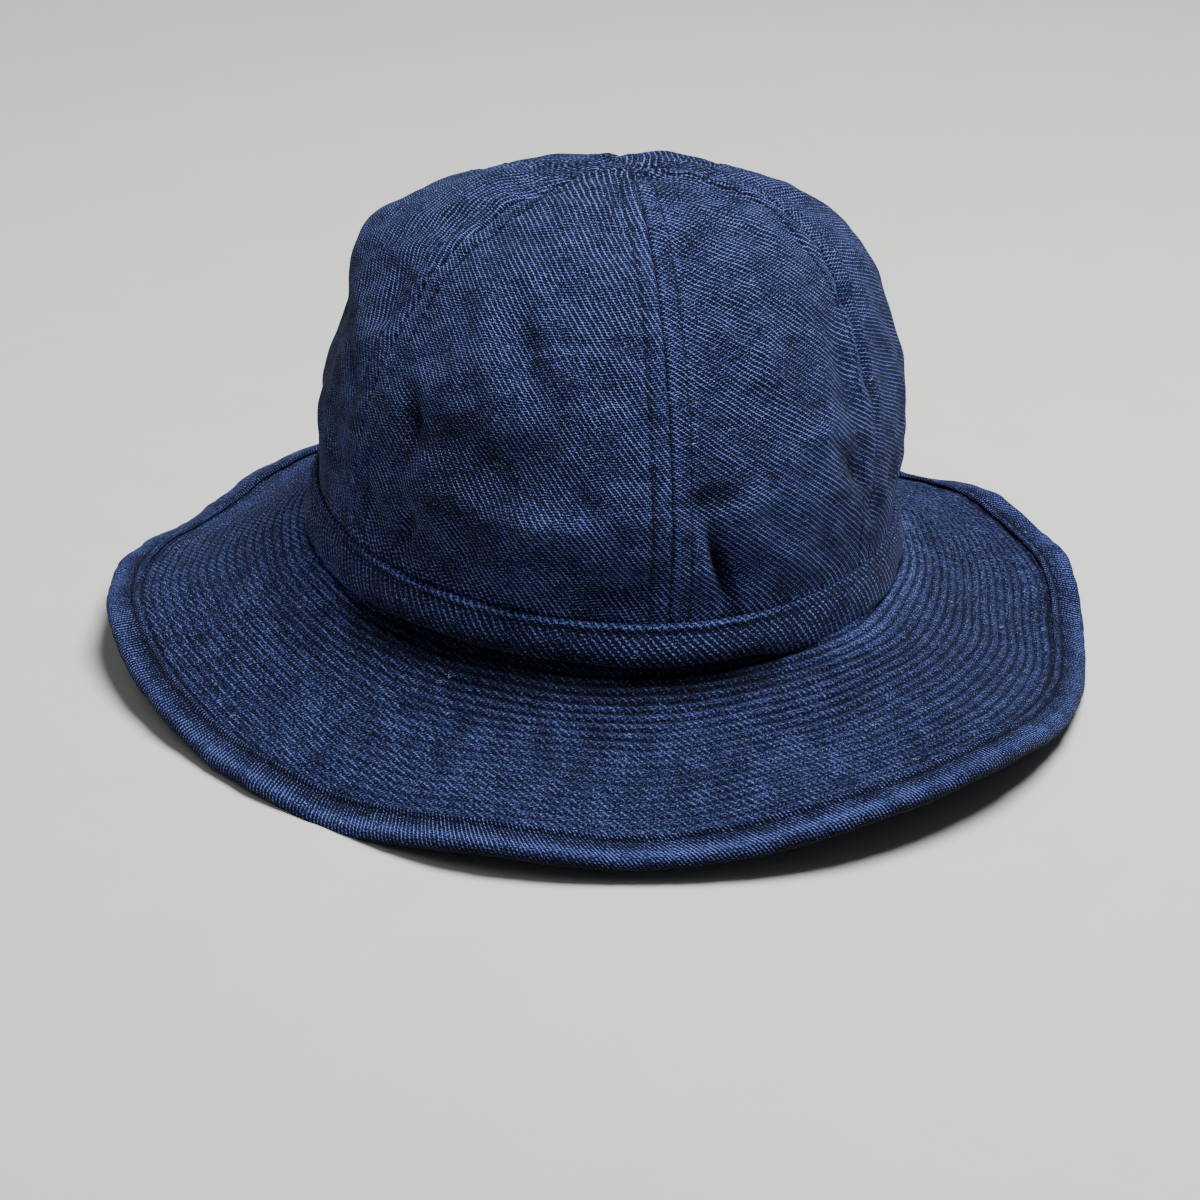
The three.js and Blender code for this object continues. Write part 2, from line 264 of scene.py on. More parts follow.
# Gores in the order of the seams that they start from, how far their middles puff out and their turn of grain
GORES = table(
    ("name", "puff", "grain"),
    [
        ("crown_gore_front_right", 3.5, -8),
        ("crown_gore_right", 3.0, -17),
        ("crown_gore_back_right", 4.0, 0),
        ("crown_gore_back_left", 2.5, 0),
        ("crown_gore_left", 5.0, 10),
        ("crown_gore_front_left", 3.5, 0),
    ],
)
print(len(SEAMS), "seams and", len(GORES), "gores")

# %% Folds and creases of the crown
# A fold's angle and climb, its half sizes across and along in mm, its turn in degrees and its depth in mm
FOLD_COLUMNS = ("name", "angle", "climb", "across", "along", "turn", "depth")
FOLD_ROWS = [
    ("left shoulder swell", 258, 0.47, 34, 17.5, 0, 3.0),
    ("left shoulder tuck", 262, 0.29, 36, 11, 0, -1.0),
    ("left side hollow", 264, 0.21, 34, 23.5, 0, -5.3),
    ("left fold ridge", 284, 0.31, 8, 20, -38, 1.8),
    ("left seam dent", 310, 0.18, 8, 15, 8, -2.0),
    ("front left hollow", 336, 0.25, 26, 12, -4, -2.5),
    ("front left swell", 338, 0.11, 14, 8, 0, 1.5),
    ("front crease", 13.3, 0.075, 5, 11, -25, -2.8),
    ("right seam tuck", 48, 0.28, 7, 26, 0, -2.2),
    ("right foot crease", 47, 0.14, 9, 7, 0, -1.5),
    ("right side hollow", 92, 0.24, 22, 16, 20, -1.5),
    ("back right hollow", 150, 0.22, 24, 13, -15, -2.5),
    ("back left hollow", 207, 0.3, 24, 14, 15, -2.5),
]
CREASE_ROWS = [
    ("front left ledge", 331, 0.29, 25, 8, -2, 2.2),
    ("front left undercut", 329, 0.185, 26, 9, 0, -4.2),
    ("front left ridge", 341, 0.118, 15, 3.4, -3, 1.9),
    ("front foot hollow", 353, 0.04, 9, 4, 0, -2.4),
    ("front foot dent", 345, 0.07, 6, 3, 0, -0.8),
    ("left slit", 309, 0.215, 2.8, 8.5, -20, -2.1),
    ("left slit lip", 313.5, 0.19, 4, 9, -23, 0.5),
    ("left foot dimple", 311.0, 0.045, 2.6, 4.6, 30, -2.7),
    ("left seam dimple", 301.5, 0.042, 4, 3.5, 0, -1.2),
    ("hanging fold", 331, 0.395, 4.8, 20, -23, -3.0),
    ("hanging fold, right ridge", 341, 0.4, 6, 18, -20, 1.5),
    ("hanging fold, left ridge", 322.5, 0.38, 4.5, 13, -20, 1.6),
    ("hanging fold, left foot", 322.5, 0.285, 5.5, 6, 0, -1.9),
    ("level crease", 346, 0.421, 14, 2.4, -8, -1.1),
    ("level crease lip", 346, 0.398, 14, 3.2, -8, 0.7),
    ("front crease line", 14.0, 0.07, 2.0, 9.0, -26, -5.0),
    ("front crease lip", 10.6, 0.08, 2.6, 9, -26, 1.6),
    ("front crease head", 12.0, 0.172, 6.5, 3.0, -6, -2.1),
    ("front crease shelf", 17.5, 0.142, 5, 4, 0, 1.5),
    ("right ridge", 36.5, 0.228, 9, 3.4, 0, 1.6),
    ("right crease line", 45.5, 0.148, 9.0, 2.9, 41, -2.4),
    ("right notch line", 56, 0.3, 2.2, 21, 3, -2.0),
    ("right notch lip", 51, 0.31, 3.5, 19, 3, 1.4),
    ("right pinch", 57, 0.43, 3.6, 5.0, 0, -2.0),
    ("right corner", 70, 0.5, 14, 13, 0, 1.6),
    ("right side swell", 86, 0.48, 15, 13, 0, 0.8),
    ("right hanging dent", 19.5, 0.458, 4, 9, -10, -0.8),
    ("right hanging ridge", 25, 0.41, 5, 10, -10, 0.7),
    ("front seam pucker", 9.5, 0.63, 4, 4, 0, -0.8),
    ("left shoulder dent", 292, 0.417, 5, 12, -8, -2.2),
    ("left top dent", 291, 0.642, 3, 5, 0, -1.4),
    ("left seam dent, high", 302, 0.52, 4, 4, 0, -0.7),
    ("left fold line", 286, 0.25, 3, 14, -38, -1.0),
    ("right front foot fold", 30, 0.05, 9, 3.2, 12, 0.9),
    ("top dent", 40, 0.78, 10, 6, 20, -0.8),
    ("back foot fold", 168, 0.07, 12, 3.5, 8, 0.9),
    ("back left foot fold", 222, 0.06, 10, 3, -10, 0.9),
    ("right foot fold", 88, 0.06, 10, 3, 12, 0.9),
    ("back seam tuck", 190, 0.4, 4, 14, 10, -0.9),
    ("right back tuck", 126, 0.33, 4, 15, -8, -0.9),
    ("back hanging fold", 150, 0.42, 5, 18, 15, -1.4),
    ("back level crease", 205, 0.45, 14, 1.4, 6, -0.8),
    ("right side crease", 108, 0.4, 3, 15, 18, -1.0),
    ("left side crease", 248, 0.36, 3, 14, -15, -1.0),
]
# Patches of painted light and shade have the same columns, and their depth is a change of the painted tone:
# darker on the top and the left side, paler at the right foot
PAINTED_LIGHT_ROWS = [
    ("top, less faded", 0, 1.0, 300, 32, 0, -0.5),
    ("left side, less faded", 272, 0.3, 42, 48, 0, -0.4),
    ("left foot, less faded", 320, 0.12, 26, 20, 0, -0.5),
    ("right foot, more faded", 27, 0.12, 24, 18, 0, 0.4),
]
SHARP_SIZE = 4
CROWN_PAINTED_LIGHT = table(FOLD_COLUMNS, PAINTED_LIGHT_ROWS)
CROWN_FOLDS = table(FOLD_COLUMNS, FOLD_ROWS + CREASE_ROWS)
SHARP_CREASES = [fold for fold in CROWN_FOLDS if min(fold["across"], fold["along"]) < SHARP_SIZE]
print(len(FOLD_ROWS), "large folds and", len(CREASE_ROWS), "fine creases")

# %% The plain dome
def crown_dome(angle, climb):
    """The dome before puffs and folds: climb is 0 at the band, 1 at the apex, below 0 behind the band."""
    sin = np.sin(np.radians(angle))
    cos = np.cos(np.radians(angle))
    front_back = np.where(cos > 0, SHOULDER["front"], SHOULDER["back"])
    side = np.where(sin > 0, SHOULDER["right"], SHOULDER["left"])
    power = 2 / (front_back * cos**2 + side * sin**2)
    turn = np.clip(climb, 0, 1) * math.pi / 2
    spread = np.cos(turn) ** power
    rise = np.sin(turn) ** power
    x = (HALF_WIDTH + CROWN_OFFSET) * spread * sin + APEX_SHIFT[0] * rise**2
    y = -(HALF_LENGTH + CROWN_OFFSET) * spread * cos + APEX_SHIFT[1] * rise**2
    z = CROWN_HEIGHT * rise + np.minimum(climb, 0) * SLANT
    back = CROWN_LEAN_BACK * rise
    y, z = y * np.cos(back) + z * np.sin(back), z * np.cos(back) - y * np.sin(back)
    x, z = x * np.cos(SIDE_LEAN) + z * np.sin(SIDE_LEAN), z * np.cos(SIDE_LEAN) - x * np.sin(SIDE_LEAN)
    return stack(x, y, z)


def dome_normal(angle, climb):
    step = 1e-3
    turn = math.degrees(step)
    around = crown_dome(angle + turn, climb) - crown_dome(angle - turn, climb)
    upwards = crown_dome(angle, np.minimum(climb + step, 1)) - crown_dome(angle, climb - step)
    return unit(np.cross(around, upwards))


apex = crown_dome(0.0, 1.0)
print("apex in the frame in mm:", np.round(apex + HAT_MIDDLE, 1))

# %% Seam lines and folds
def seam_angle(seam, climb):
    """Angle of a seam at a climb: a smooth curve through its three given places."""
    foot, middle, top = (SEAM_CLIMBS[place] for place in ("foot", "middle", "top"))
    foot_share = (climb - middle) * (climb - top) / ((foot - middle) * (foot - top))
    middle_share = (climb - foot) * (climb - top) / ((middle - foot) * (middle - top))
    top_share = (climb - foot) * (climb - middle) / ((top - foot) * (top - middle))
    return seam["foot"] * foot_share + seam["middle"] * middle_share + seam["top"] * top_share


def gore_seams(index):
    """The seams at a gore's two edges."""
    return SEAMS[index], SEAMS[(index + 1) % len(SEAMS)]


def gore_angle(index, across, climb):
    """Angle inside a gore: across is 0 at its first seam and 1 at the next."""
    first, last = gore_seams(index)
    full_turn = 360 if last is SEAMS[0] else 0
    start = seam_angle(first, climb)
    end = seam_angle(last, climb) + full_turn
    return start + (end - start) * across


def fold_depth(angle, climb, folds):
    """Depth of some of the folds and creases at a place on the crown."""
    mean_radius = (HALF_WIDTH + HALF_LENGTH) / 2
    narrowing = np.cos(np.clip(climb, 0, 1) * math.pi / 2) ** 0.8
    depth = 0
    for fold in folds:
        across = np.radians(turn_from(angle, fold["angle"])) * mean_radius * narrowing
        along = (climb - fold["climb"]) * SLANT
        cos = math.cos(math.radians(fold["turn"]))
        sin = math.sin(math.radians(fold["turn"]))
        u = (across * cos - along * sin) / fold["across"]
        v = (across * sin + along * cos) / fold["along"]
        depth = depth + fold["depth"] * np.exp(-u * u - v * v)
    return depth


def gore_width(index, climb):
    """Length of cloth between a gore's two seams at each climb, in mm."""
    across = np.linspace(0, 1, 25)
    row = np.asarray(climb)[..., None]
    line = crown_dome(gore_angle(index, across, row), row + 0 * across)
    return np.linalg.norm(np.diff(line, axis=-2), axis=-1).sum(axis=-1)


print("front right gore is", round(float(gore_width(0, np.array(0.0))), 1), "mm wide at the band")

# %% [markdown]
# ## Seams of the crown
# The two edges of a seam are turned under, pressed to the sides and sewn down with a row of stitches on
# each side. From outside that is a thin groove in the middle of a slightly raised strip, with a dip where
# each row of thread pulls the cloth down, and small puckers between the stitches.

# %% Relief beside a seam
ROW_FROM_SEAM = 5.9
NARROW_GORE = 27.0
STRIP_EDGE = (5.0, 7.6)
CLEAR_CLIMBS = (0.26, 0.46)
GROOVE_WIDTH = 0.5
DIP = {"share": 0.65, "width": 0.7}
PUCKER = {"height": 0.17, "length": 6.4, "away": 6.6, "width": 4.6}
CRUMPLE = [(0.48, 27, 11), (0.26, 11, 12)]
GATHERS = [(0.45, 15, 13)]
GATHERED = {"climb": 0.06, "width": 0.05}


def seam_scale(width):
    """How much the seam's strip narrows where a gore runs to its tip."""
    return np.minimum(1, np.maximum(width, 0.5) / NARROW_GORE)


def seam_clear(seam, climb):
    """How clearly a seam shows: some are pulled smooth where the crown's foot is stretched."""
    return seam["low"] + (1 - seam["low"]) * fade(climb, *CLEAR_CLIMBS)


def seam_relief(seam, distance, climb, scale):
    """Height of the raised strip, groove, stitch dip and puckers at a distance from a seam."""
    away = distance / scale
    along = climb * SLANT
    strip = seam["proud"] * (1 - fade(away, *STRIP_EDGE)) * (0.4 + 0.6 * scale)
    groove = -seam["groove"] * near(distance, 0, GROOVE_WIDTH)
    dip = -DIP["share"] * seam["groove"] * near(away, ROW_FROM_SEAM, DIP["width"])
    wander = seam["foot"] + 1.6 * np.sin(along / 5.1 + seam["foot"])
    pucker = PUCKER["height"] * np.sin(2 * math.pi * along / PUCKER["length"] + wander)
    relief = strip + groove + dip + pucker * near(away, PUCKER["away"], PUCKER["width"])
    return relief * seam_clear(seam, climb)


def gore_face(index, across, climb):
    """Outer face of a gore with every fold, crease, seam and crumple."""
    angle = gore_angle(index, across, climb)
    width = gore_width(index, climb)
    scale = seam_scale(width)
    height = np.maximum(climb, 0)
    puff = GORES[index]["puff"] * np.sin(math.pi * across) * np.sin(math.pi * height)
    bag = (height / FOOT_BULGE["climb"]) ** 2
    bulge = FOOT_BULGE["height"] * bag * np.exp(1 - bag)
    dome = crown_dome(angle, climb)
    free = fade(climb, 0.0, GATHERED["climb"])
    gathers = swells(dome, GATHERS) * near(climb, GATHERED["climb"], GATHERED["width"])
    first, last = gore_seams(index)
    relief = seam_relief(first, across * width, climb, scale)
    relief = relief + seam_relief(last, (1 - across) * width, climb, scale)
    depth = puff + bulge + fold_depth(angle, climb, CROWN_FOLDS) + free * (swells(dome, CRUMPLE) + gathers)
    depth = depth + relief * fade(climb, -0.03, 0.01)
    return dome + dome_normal(angle, climb) * np.asarray(depth)[..., None]


print("a row of stitches lies", ROW_FROM_SEAM, "mm from each seam")

# %% [markdown]
# ## The six gores
# Each gore is a grid of points: its columns crowd together at the seams, where the relief is fine, and its
# rows run from behind the band up to the tip. The inner face is the outer one moved in by the cloth's
# thickness. A number at each point holds wear and painted light: the cloth rubs pale on the folded edges,
# painted shade darkens the seam grooves, stitch rows, creases and hollows, and a little painted light
# lifts ridges and swells. Patches of painted light and shade darken the top and the left side and lighten
# the right foot.

# %% Make the gores
SEAM_COLUMNS = np.array(
    [0.04, 0.3, 0.6, 0.95, 1.4, 2.1, 3.0, 3.9, 4.7, 5.3, 5.7, 6.1, 6.5, 7.0, 7.7, 8.8, 10.2, 12.0]
)
MIDDLE_COLUMNS = 60
GORE_ROWS = 176
WALE_SPREAD = {"foot": 1.85, "rise": 0.7}
GORE_APART = 140.0


def gore_columns(width):
    """Places across a gore, close together at both seams."""
    edge = SEAM_COLUMNS * seam_scale(width) / width
    middle = np.linspace(edge[-1], 1 - edge[-1], MIDDLE_COLUMNS + 2)[1:-1]
    return np.concatenate([edge, middle, 1 - edge[::-1]])


def gore_wear_and_painted_light(index, across, climb, from_seam):
    """Rubbed pale edges beside the seams, painted shade in seam grooves, stitch rows, creases and hollows,
    painted light on ridges, and patches of painted light and shade.
    """
    first, last = gore_seams(index)
    angle = gore_angle(index, across, climb)
    # Pale rubbed edges beside each seam, and painted shade in the seam's groove and along its stitch rows.
    wear_and_painted_light = 0.6 * near(from_seam, 1.6, 1.1) - 0.7 * near(from_seam, 0, GROOVE_WIDTH)
    wear_and_painted_light = wear_and_painted_light + 0.4 * near(from_seam, 7.2, 0.9) - 0.6 * near(from_seam, ROW_FROM_SEAM, 0.6)
    clear = np.where(across < 0.5, seam_clear(first, climb), seam_clear(last, climb))
    # Painted shade in sharp creases, and a little painted light on their ridges.
    wear_and_painted_light = wear_and_painted_light * clear + np.clip(0.28 * fold_depth(angle, climb, SHARP_CREASES), -0.9, 0.3)
    # Painted shade in the larger folds and hollows, and a little painted light on their swells.
    wear_and_painted_light = wear_and_painted_light + np.clip(0.09 * fold_depth(angle, climb, CROWN_FOLDS), -0.6, 0.2)
    # Patches of painted light and shade: darker top and left side, paler right foot.
    return wear_and_painted_light + fold_depth(angle, climb, CROWN_PAINTED_LIGHT)


def gore_cloth(index, across, climb, widths):
    """Flat places of a gore's outer face, turned to its grain and set apart from the other gores."""
    grain = math.radians(GORES[index]["grain"])
    cut_x = (across - 0.5) * widths[:, None]
    cut_y = climb * SLANT * (WALE_SPREAD["foot"] - WALE_SPREAD["rise"] * climb)
    flat_x = cut_x * math.cos(grain) - cut_y * math.sin(grain)
    flat_y = cut_x * math.sin(grain) + cut_y * math.cos(grain)
    return flat_place(flat_x, flat_y) + np.array([GORE_APART * index, 0.0])


def make_gore(index):
    climbs = np.linspace(-SKIRT_DEPTH / SLANT, TIP_CLIMB, GORE_ROWS)
    widths = gore_width(index, climbs)
    across = np.array([gore_columns(width) for width in widths])
    climb = np.broadcast_to(climbs[:, None], across.shape)
    outer = gore_face(index, across, climb)
    inner = outer - dome_normal(gore_angle(index, across, climb), climb) * CROWN_WALL
    loops = np.concatenate([outer, inner[:, ::-1]], axis=1)
    flat = gore_cloth(index, across, climb, widths)
    cloth = np.concatenate([flat, flat[:, ::-1], flat[:, :1]], axis=1)
    from_seam = np.minimum(across, 1 - across) * widths[:, None]
    wear_and_painted_light = gore_wear_and_painted_light(index, across, climb, from_seam)
    wear_and_painted_light = np.concatenate([wear_and_painted_light, 0 * wear_and_painted_light], axis=1)
    piece = cloth_piece(GORES[index]["name"] + "_cloth", loops, cloth, wear_and_painted_light, goes_round=False)
    area = np.sum((widths[1:] + widths[:-1]) / 2 * np.diff(climbs)) * SLANT
    return piece, widths.max(), area


gore_pieces = [make_gore(index) for index in range(len(GORES))]
print("widest gore in mm:", round(max(width for piece, width, area in gore_pieces), 1))

# %% [markdown]
# ## The crown band
# The band is a folded strip that covers the joint of crown and brim. Its top edge is a soft rolled fold, a
# row of stitches holds it just below, and its foot stands away from the brim and throws the darkest shadow
# on the hat. A closed curve through eight section points is swept round the oval and made a little uneven.

# %% Band section
BAND_SECTION = table(
    ("name", "offset", "height"),
    [
        ("inner top", 1.9, -0.3),
        ("top fold", 2.7, 0.3),
        ("outer top", 3.6, -0.6),
        ("outer middle", 6.0, -5.4),
        ("outer foot", 6.7, -9.8),
        ("foot fold", 5.7, -11.8),
        ("inner foot", 4.9, -10.6),
        ("inner middle", 4.0, -6.0),
    ],
)
BAND_ROW_HEIGHT = -1.9
BAND_STEPS = 600
CURVE_STEPS = 7
SEAM_AT_BACK = 180


def smooth_loop(points, steps):
    """A closed smooth curve through points, with the same number of steps between each two."""
    before = np.roll(points, 1, axis=0)
    after = np.roll(points, -1, axis=0)
    beyond = np.roll(points, -2, axis=0)
    curve = []
    for t in np.arange(steps) / steps:
        linear = (after - before) / 2
        square = before - 2.5 * points + 2 * after - beyond / 2
        cube = (beyond - before) / 2 + 1.5 * (points - after)
        curve.append(points + linear * t + square * t**2 + cube * t**3)
    return np.stack(curve, axis=1).reshape(-1, points.shape[1])


band_curve = smooth_loop(np.array([[row["offset"], row["height"]] for row in BAND_SECTION]), CURVE_STEPS)
BAND_RUN = run_along(np.append(band_curve, band_curve[:1], axis=0))
print("band section has", len(band_curve), "points")

# %% Band surface
FRONT_MIDDLE = -16
SIDE_TURNS = (32, 56)
BAND_DROOP = [(0.25, 60, 21), (0.2, 19, 22)]


def at_side(angle):
    """How far round the side an angle is: 0 in front, and 1 where the band hugs the brim."""
    return fade(np.abs(turn_from(angle, FRONT_MIDDLE)), *SIDE_TURNS)


def band_face(angle, offset, height):
    """A point of the band: the plain section with its uneven foot, puckers and stitch dip."""
    plain = beside_oval(angle, offset, height)
    level = plain * [1, 1, 0]
    foot = fade(-height, 1.0, 11.0)
    outer = fade(offset - 0.34 * -height, 2.3, 3.0)
    side = at_side(angle)
    droop = swells(level, BAND_DROOP) + 0.6 - 3.4 * side
    flare = 0.4 * swell(level, 42, 23) + 0.15 * swell(plain * [1, 1, 0.4], 12, 24)
    lip = (0.5 - 0.45 * side) * near(height, -0.3, 0.6)
    dip = -0.42 * near(height, BAND_ROW_HEIGHT, 0.6)
    pucker = 0.12 * swell(plain, 6, 25) * near(height, BAND_ROW_HEIGHT, 2.2)
    hug = -side * (1.1 + 0.9 * foot)
    moved = offset + hug + foot * flare + outer * (lip + dip + pucker)
    return beside_oval(angle, moved, height + foot * droop)


def arc_at(angle):
    """Length along the head oval from the front to an angle, which may pass a full turn."""
    return np.interp(angle % 360, ROUND_ANGLES, OVAL_ARC) + OVAL_ARC[-1] * (angle // 360)


def make_band():
    angle = round_angles(SEAM_AT_BACK, BAND_STEPS)[:, None]
    offset, height = band_curve.T
    loops = band_face(angle, offset, height)
    girth = arc_at(round_angles(SEAM_AT_BACK, BAND_STEPS, closed=True))
    cloth = flat_place(girth[:, None], -BAND_RUN)
    front = 1 - at_side(angle)
    # The top lip is paler in front, partly rubbed wear and partly painted highlight; the dark line at the
    # stitch row is painted shade.
    wear_and_painted_light = 1.5 * front * near(height, -0.1, 0.5) - 0.8 * front * near(height, BAND_ROW_HEIGHT, 0.45)
    # Painted shade on the band's lower half in front; at the sides the foot is made paler instead.
    wear_and_painted_light = wear_and_painted_light + (0.8 - 2.0 * front) * fade(-height, 5.5, 11.0)
    return cloth_piece("crown_band_cloth", loops, cloth, wear_and_painted_light, goes_round=True)


band_piece = make_band()
print("band is", round(band_curve[:, 1].max() - band_curve[:, 1].min(), 1), "mm high")

# %% [markdown]
# ## The brim
# The brim is two layers of cloth quilted together with rings of stitches. It slopes down, flattens towards
# its edge and waves up and down round the hat, and its lowest places lie on the floor. The slopes are the
# CAD's rows, joined by a smooth closed curve. The quilting is real relief: a groove at each ring and a soft
# swell between. A sloping brim is cut as an open ring, so the weave turns slowly round it, and one flat map
# follows that cut. A second one is combed along the rings for the loose fibres, which the stitching draws
# that way.

# %% Brim sizes
BRIM_ROOT = {"offset": 0.6, "height": -13.4}
BRIM_SLANT = 68.0
BRIM_WALL = 2.4
BRIM_FLARE = 8.0
CUT_RADIUS = 118.0
BRIM_SLOPES = [
    ("front", 26.7),
    ("front, right lift", 18.8),
    ("right front lift", 19.3),
    ("right front", 26.0),
    ("right rest", 29.5),
    ("right back lift", 23.7),
    ("right back", 26.0),
    ("back right rest", 31.0),
    ("back right", 29.5),
    ("back", 26.0),
    ("back left", 26.0),
    ("left back rise", 30.5),
    ("left back rest", 33.2),
    ("left lift", 25.3),
    ("left side lift", 22.8),
    ("left front", 30.4),
    ("left front rest", 32.6),
    ("front, left side", 26.9),
]
BINDING_WALL = 1.0
BINDING_CLEARANCE = 0.3
BINDING_LEG = 8.3
REST_FLAT = 0.4
ROLLED_RADIUS = BRIM_WALL / 2 + BINDING_CLEARANCE + BINDING_WALL
print("brim rows:", len(BRIM_SLOPES), "rolled edge radius in mm:", ROLLED_RADIUS)

# %% Brim form
slope_curve = smooth_loop(np.array([[slope] for name, slope in BRIM_SLOPES]), 40)[:, 0]
slope_curve = np.append(slope_curve, slope_curve[0])
SLOPE_ANGLES = np.linspace(0, 360, len(slope_curve))
CURL_FROM = 52.0
EDGE_CURLS = [(2.4, 108, 30), (1.8, 258, 28)]
RUFFLE = {"height": 0.4, "waves": 24, "angle": 257, "width": 15}


def brim_course(slope, distance):
    """Out, down and tangent of the brim's middle surface at a distance from its root."""
    start = np.radians(slope + BRIM_FLARE)
    bend = math.radians(2 * BRIM_FLARE) / BRIM_SLANT
    reach = np.minimum(distance, BRIM_SLANT)
    tangent = start - bend * reach
    beyond = distance - reach
    out = (np.sin(start) - np.sin(tangent)) / bend + beyond * np.cos(tangent)
    down = (np.cos(tangent) - np.cos(start)) / bend + beyond * np.sin(tangent)
    return out, down, tangent


def brim_flat(angle, distance):
    """Place on the brim's plan: the oval's root line with the slant laid out flat."""
    return beside_oval(angle, distance, 0.0) * [1, 1, 0]


def brim_cut_place(angle, distance):
    """Place on the open ring that the sloping brim was cut from, for angles from 180 to 540."""
    turn = (arc_at(angle) - OVAL_ARC[-1]) / CUT_RADIUS
    return flat_place((CUT_RADIUS + distance) * np.sin(turn), -(CUT_RADIUS + distance) * np.cos(turn))


def brim_wave(angle, distance):
    """Uneven lie of the brim, growing from its root to its edge, with an edge that curls up at the back."""
    flat = brim_flat(angle, distance)
    reach = np.clip(distance / BRIM_SLANT, 0, 1.05)
    edge = np.clip((distance - CURL_FROM) / (BRIM_SLANT - CURL_FROM), 0, 1.15) ** 2
    curl = sum(height * near_angle(angle, middle, width) for height, middle, width in EDGE_CURLS)
    ruffle = RUFFLE["height"] * np.sin(np.radians(angle) * RUFFLE["waves"])
    ruffle = ruffle * near_angle(angle, RUFFLE["angle"], RUFFLE["width"])
    soft = 0.75 * reach**2 * swell(flat, 58, 31) + 0.1 * reach * swell(flat, 21, 32)
    return soft + edge * (curl + ruffle)


def brim_point(angle, distance, above):
    """A point of the brim: distance from its root and height above its middle surface."""
    slope = np.interp(np.asarray(angle) % 360, SLOPE_ANGLES, slope_curve)
    edge_height = BRIM_ROOT["height"] - brim_course(slope, BRIM_SLANT)[1]
    edge = beside_oval(angle, BRIM_ROOT["offset"], edge_height)[..., 2]
    lowest_edge = -BAND_ABOVE_FLOOR + ROLLED_RADIUS - REST_FLAT
    lift = np.maximum(0, lowest_edge - edge) * np.minimum(distance / BRIM_SLANT, 1) ** 2
    out, down, tangent = brim_course(slope, distance)
    raised = above + brim_wave(angle, distance)
    offset = BRIM_ROOT["offset"] + out + raised * np.sin(tangent)
    height = BRIM_ROOT["height"] - down + raised * np.cos(tangent) + lift
    points = beside_oval(angle, offset, height)
    points[..., 2] = np.maximum(points[..., 2], -BAND_ABOVE_FLOOR)
    return points


print("front edge of the brim in mm:", np.round(brim_point(0.0, BRIM_SLANT, 0.0) + HAT_MIDDLE, 1))

# %% Quilted brim
QUILT_PITCH = 3.05
FIRST_QUILT_ROW = 4.4
QUILT_RINGS = 19
QUILT_ROWS = FIRST_QUILT_ROW + QUILT_PITCH * np.arange(QUILT_RINGS)
GROOVE_HALF_WIDTH = 0.55
QUILT_DEPTH = 0.88
FLATTENED = {"front": 0.6, "less_at_side": 0.42, "start": 14, "end": 38}
LEFT_CALM = {"share": 0.42, "angle": 278, "width": 46}
BRIM_STEPS = 600
TOP_POINTS = 120
UNDER_POINTS = 24


def row_wander(angle, distance):
    """How far the rings of stitches stray from their even places, in mm."""
    return 0.35 * swell(brim_flat(angle, distance), 40, 33)


def quilt_relief(angle, distance):
    """Grooves of the stitch rings and the soft swell between them: shallow in front, deep at the sides."""
    strayed = distance + row_wander(angle, distance)
    nearest = np.abs(strayed[..., None] - QUILT_ROWS).min(axis=-1)
    flat = brim_flat(angle, distance)
    flattened = FLATTENED["front"] - FLATTENED["less_at_side"] * at_side(angle)
    flattened = flattened * fade(distance, FLATTENED["start"], FLATTENED["end"])
    depth = QUILT_DEPTH - flattened + 0.12 * swell(flat, 33, 34)
    depth = depth * (1 - LEFT_CALM["share"] * near_angle(angle, LEFT_CALM["angle"], LEFT_CALM["width"]))
    return 0.08 * swell(flat, 9, 35) - depth * near(nearest, 0, GROOVE_HALF_WIDTH)


def brim_top(angle, distance):
    above = BRIM_WALL / 2 + quilt_relief(angle, distance)
    return brim_point(angle, distance, above)


def combed_rings(angle, distance):
    """Flat places that follow the rings, drawn out where the stitching combs the fibres."""
    drawn = 0.8 + 1.4 * np.sin(np.radians(angle)) ** 2
    run = np.cumsum(np.gradient(arc_at(angle)) / drawn)
    return flat_place(run[:, None] * (1 + distance / CUT_RADIUS), distance)


def make_brim():
    top = np.linspace(0, BRIM_SLANT, TOP_POINTS)
    under = np.linspace(BRIM_SLANT, 0, UNDER_POINTS)
    section = np.concatenate([top, under])
    side = np.concatenate([np.ones_like(top), -np.ones_like(under)])
    angle, distance = np.meshgrid(round_angles(SEAM_AT_BACK, BRIM_STEPS), section, indexing="ij")
    quilt = quilt_relief(angle, distance)
    loops = brim_point(angle, distance, side * (BRIM_WALL / 2 + quilt))
    wrap_angle = round_angles(SEAM_AT_BACK, BRIM_STEPS, closed=True)
    wrap_section = np.append(section, 0.0)
    cloth = brim_cut_place(wrap_angle[:, None], wrap_section)
    rings = combed_rings(wrap_angle, wrap_section)
    aside = at_side(angle)
    binding_foot = BRIM_SLANT - BINDING_LEG - 0.7
    # Painted shade in the quilting grooves and a little painted light on the swells; painted shadow under the
    # band's foot in front, made paler near the root at the sides.
    wear_and_painted_light = np.clip(1.8 * quilt, -1.5, 1) + (1.9 * aside - 1.3) * (1 - fade(distance, 8, 17))
    # A line of painted shade on the brim just inside the binding's turned-under edge.
    wear_and_painted_light = wear_and_painted_light - (0.3 + 0.9 * aside) * near(distance, binding_foot, 0.8)
    return cloth_piece("brim_cloth", loops, cloth, wear_and_painted_light, goes_round=True, fibre=rings)


brim_piece = make_brim()
print(len(QUILT_ROWS), "rings of stitches,", QUILT_PITCH, "mm apart")

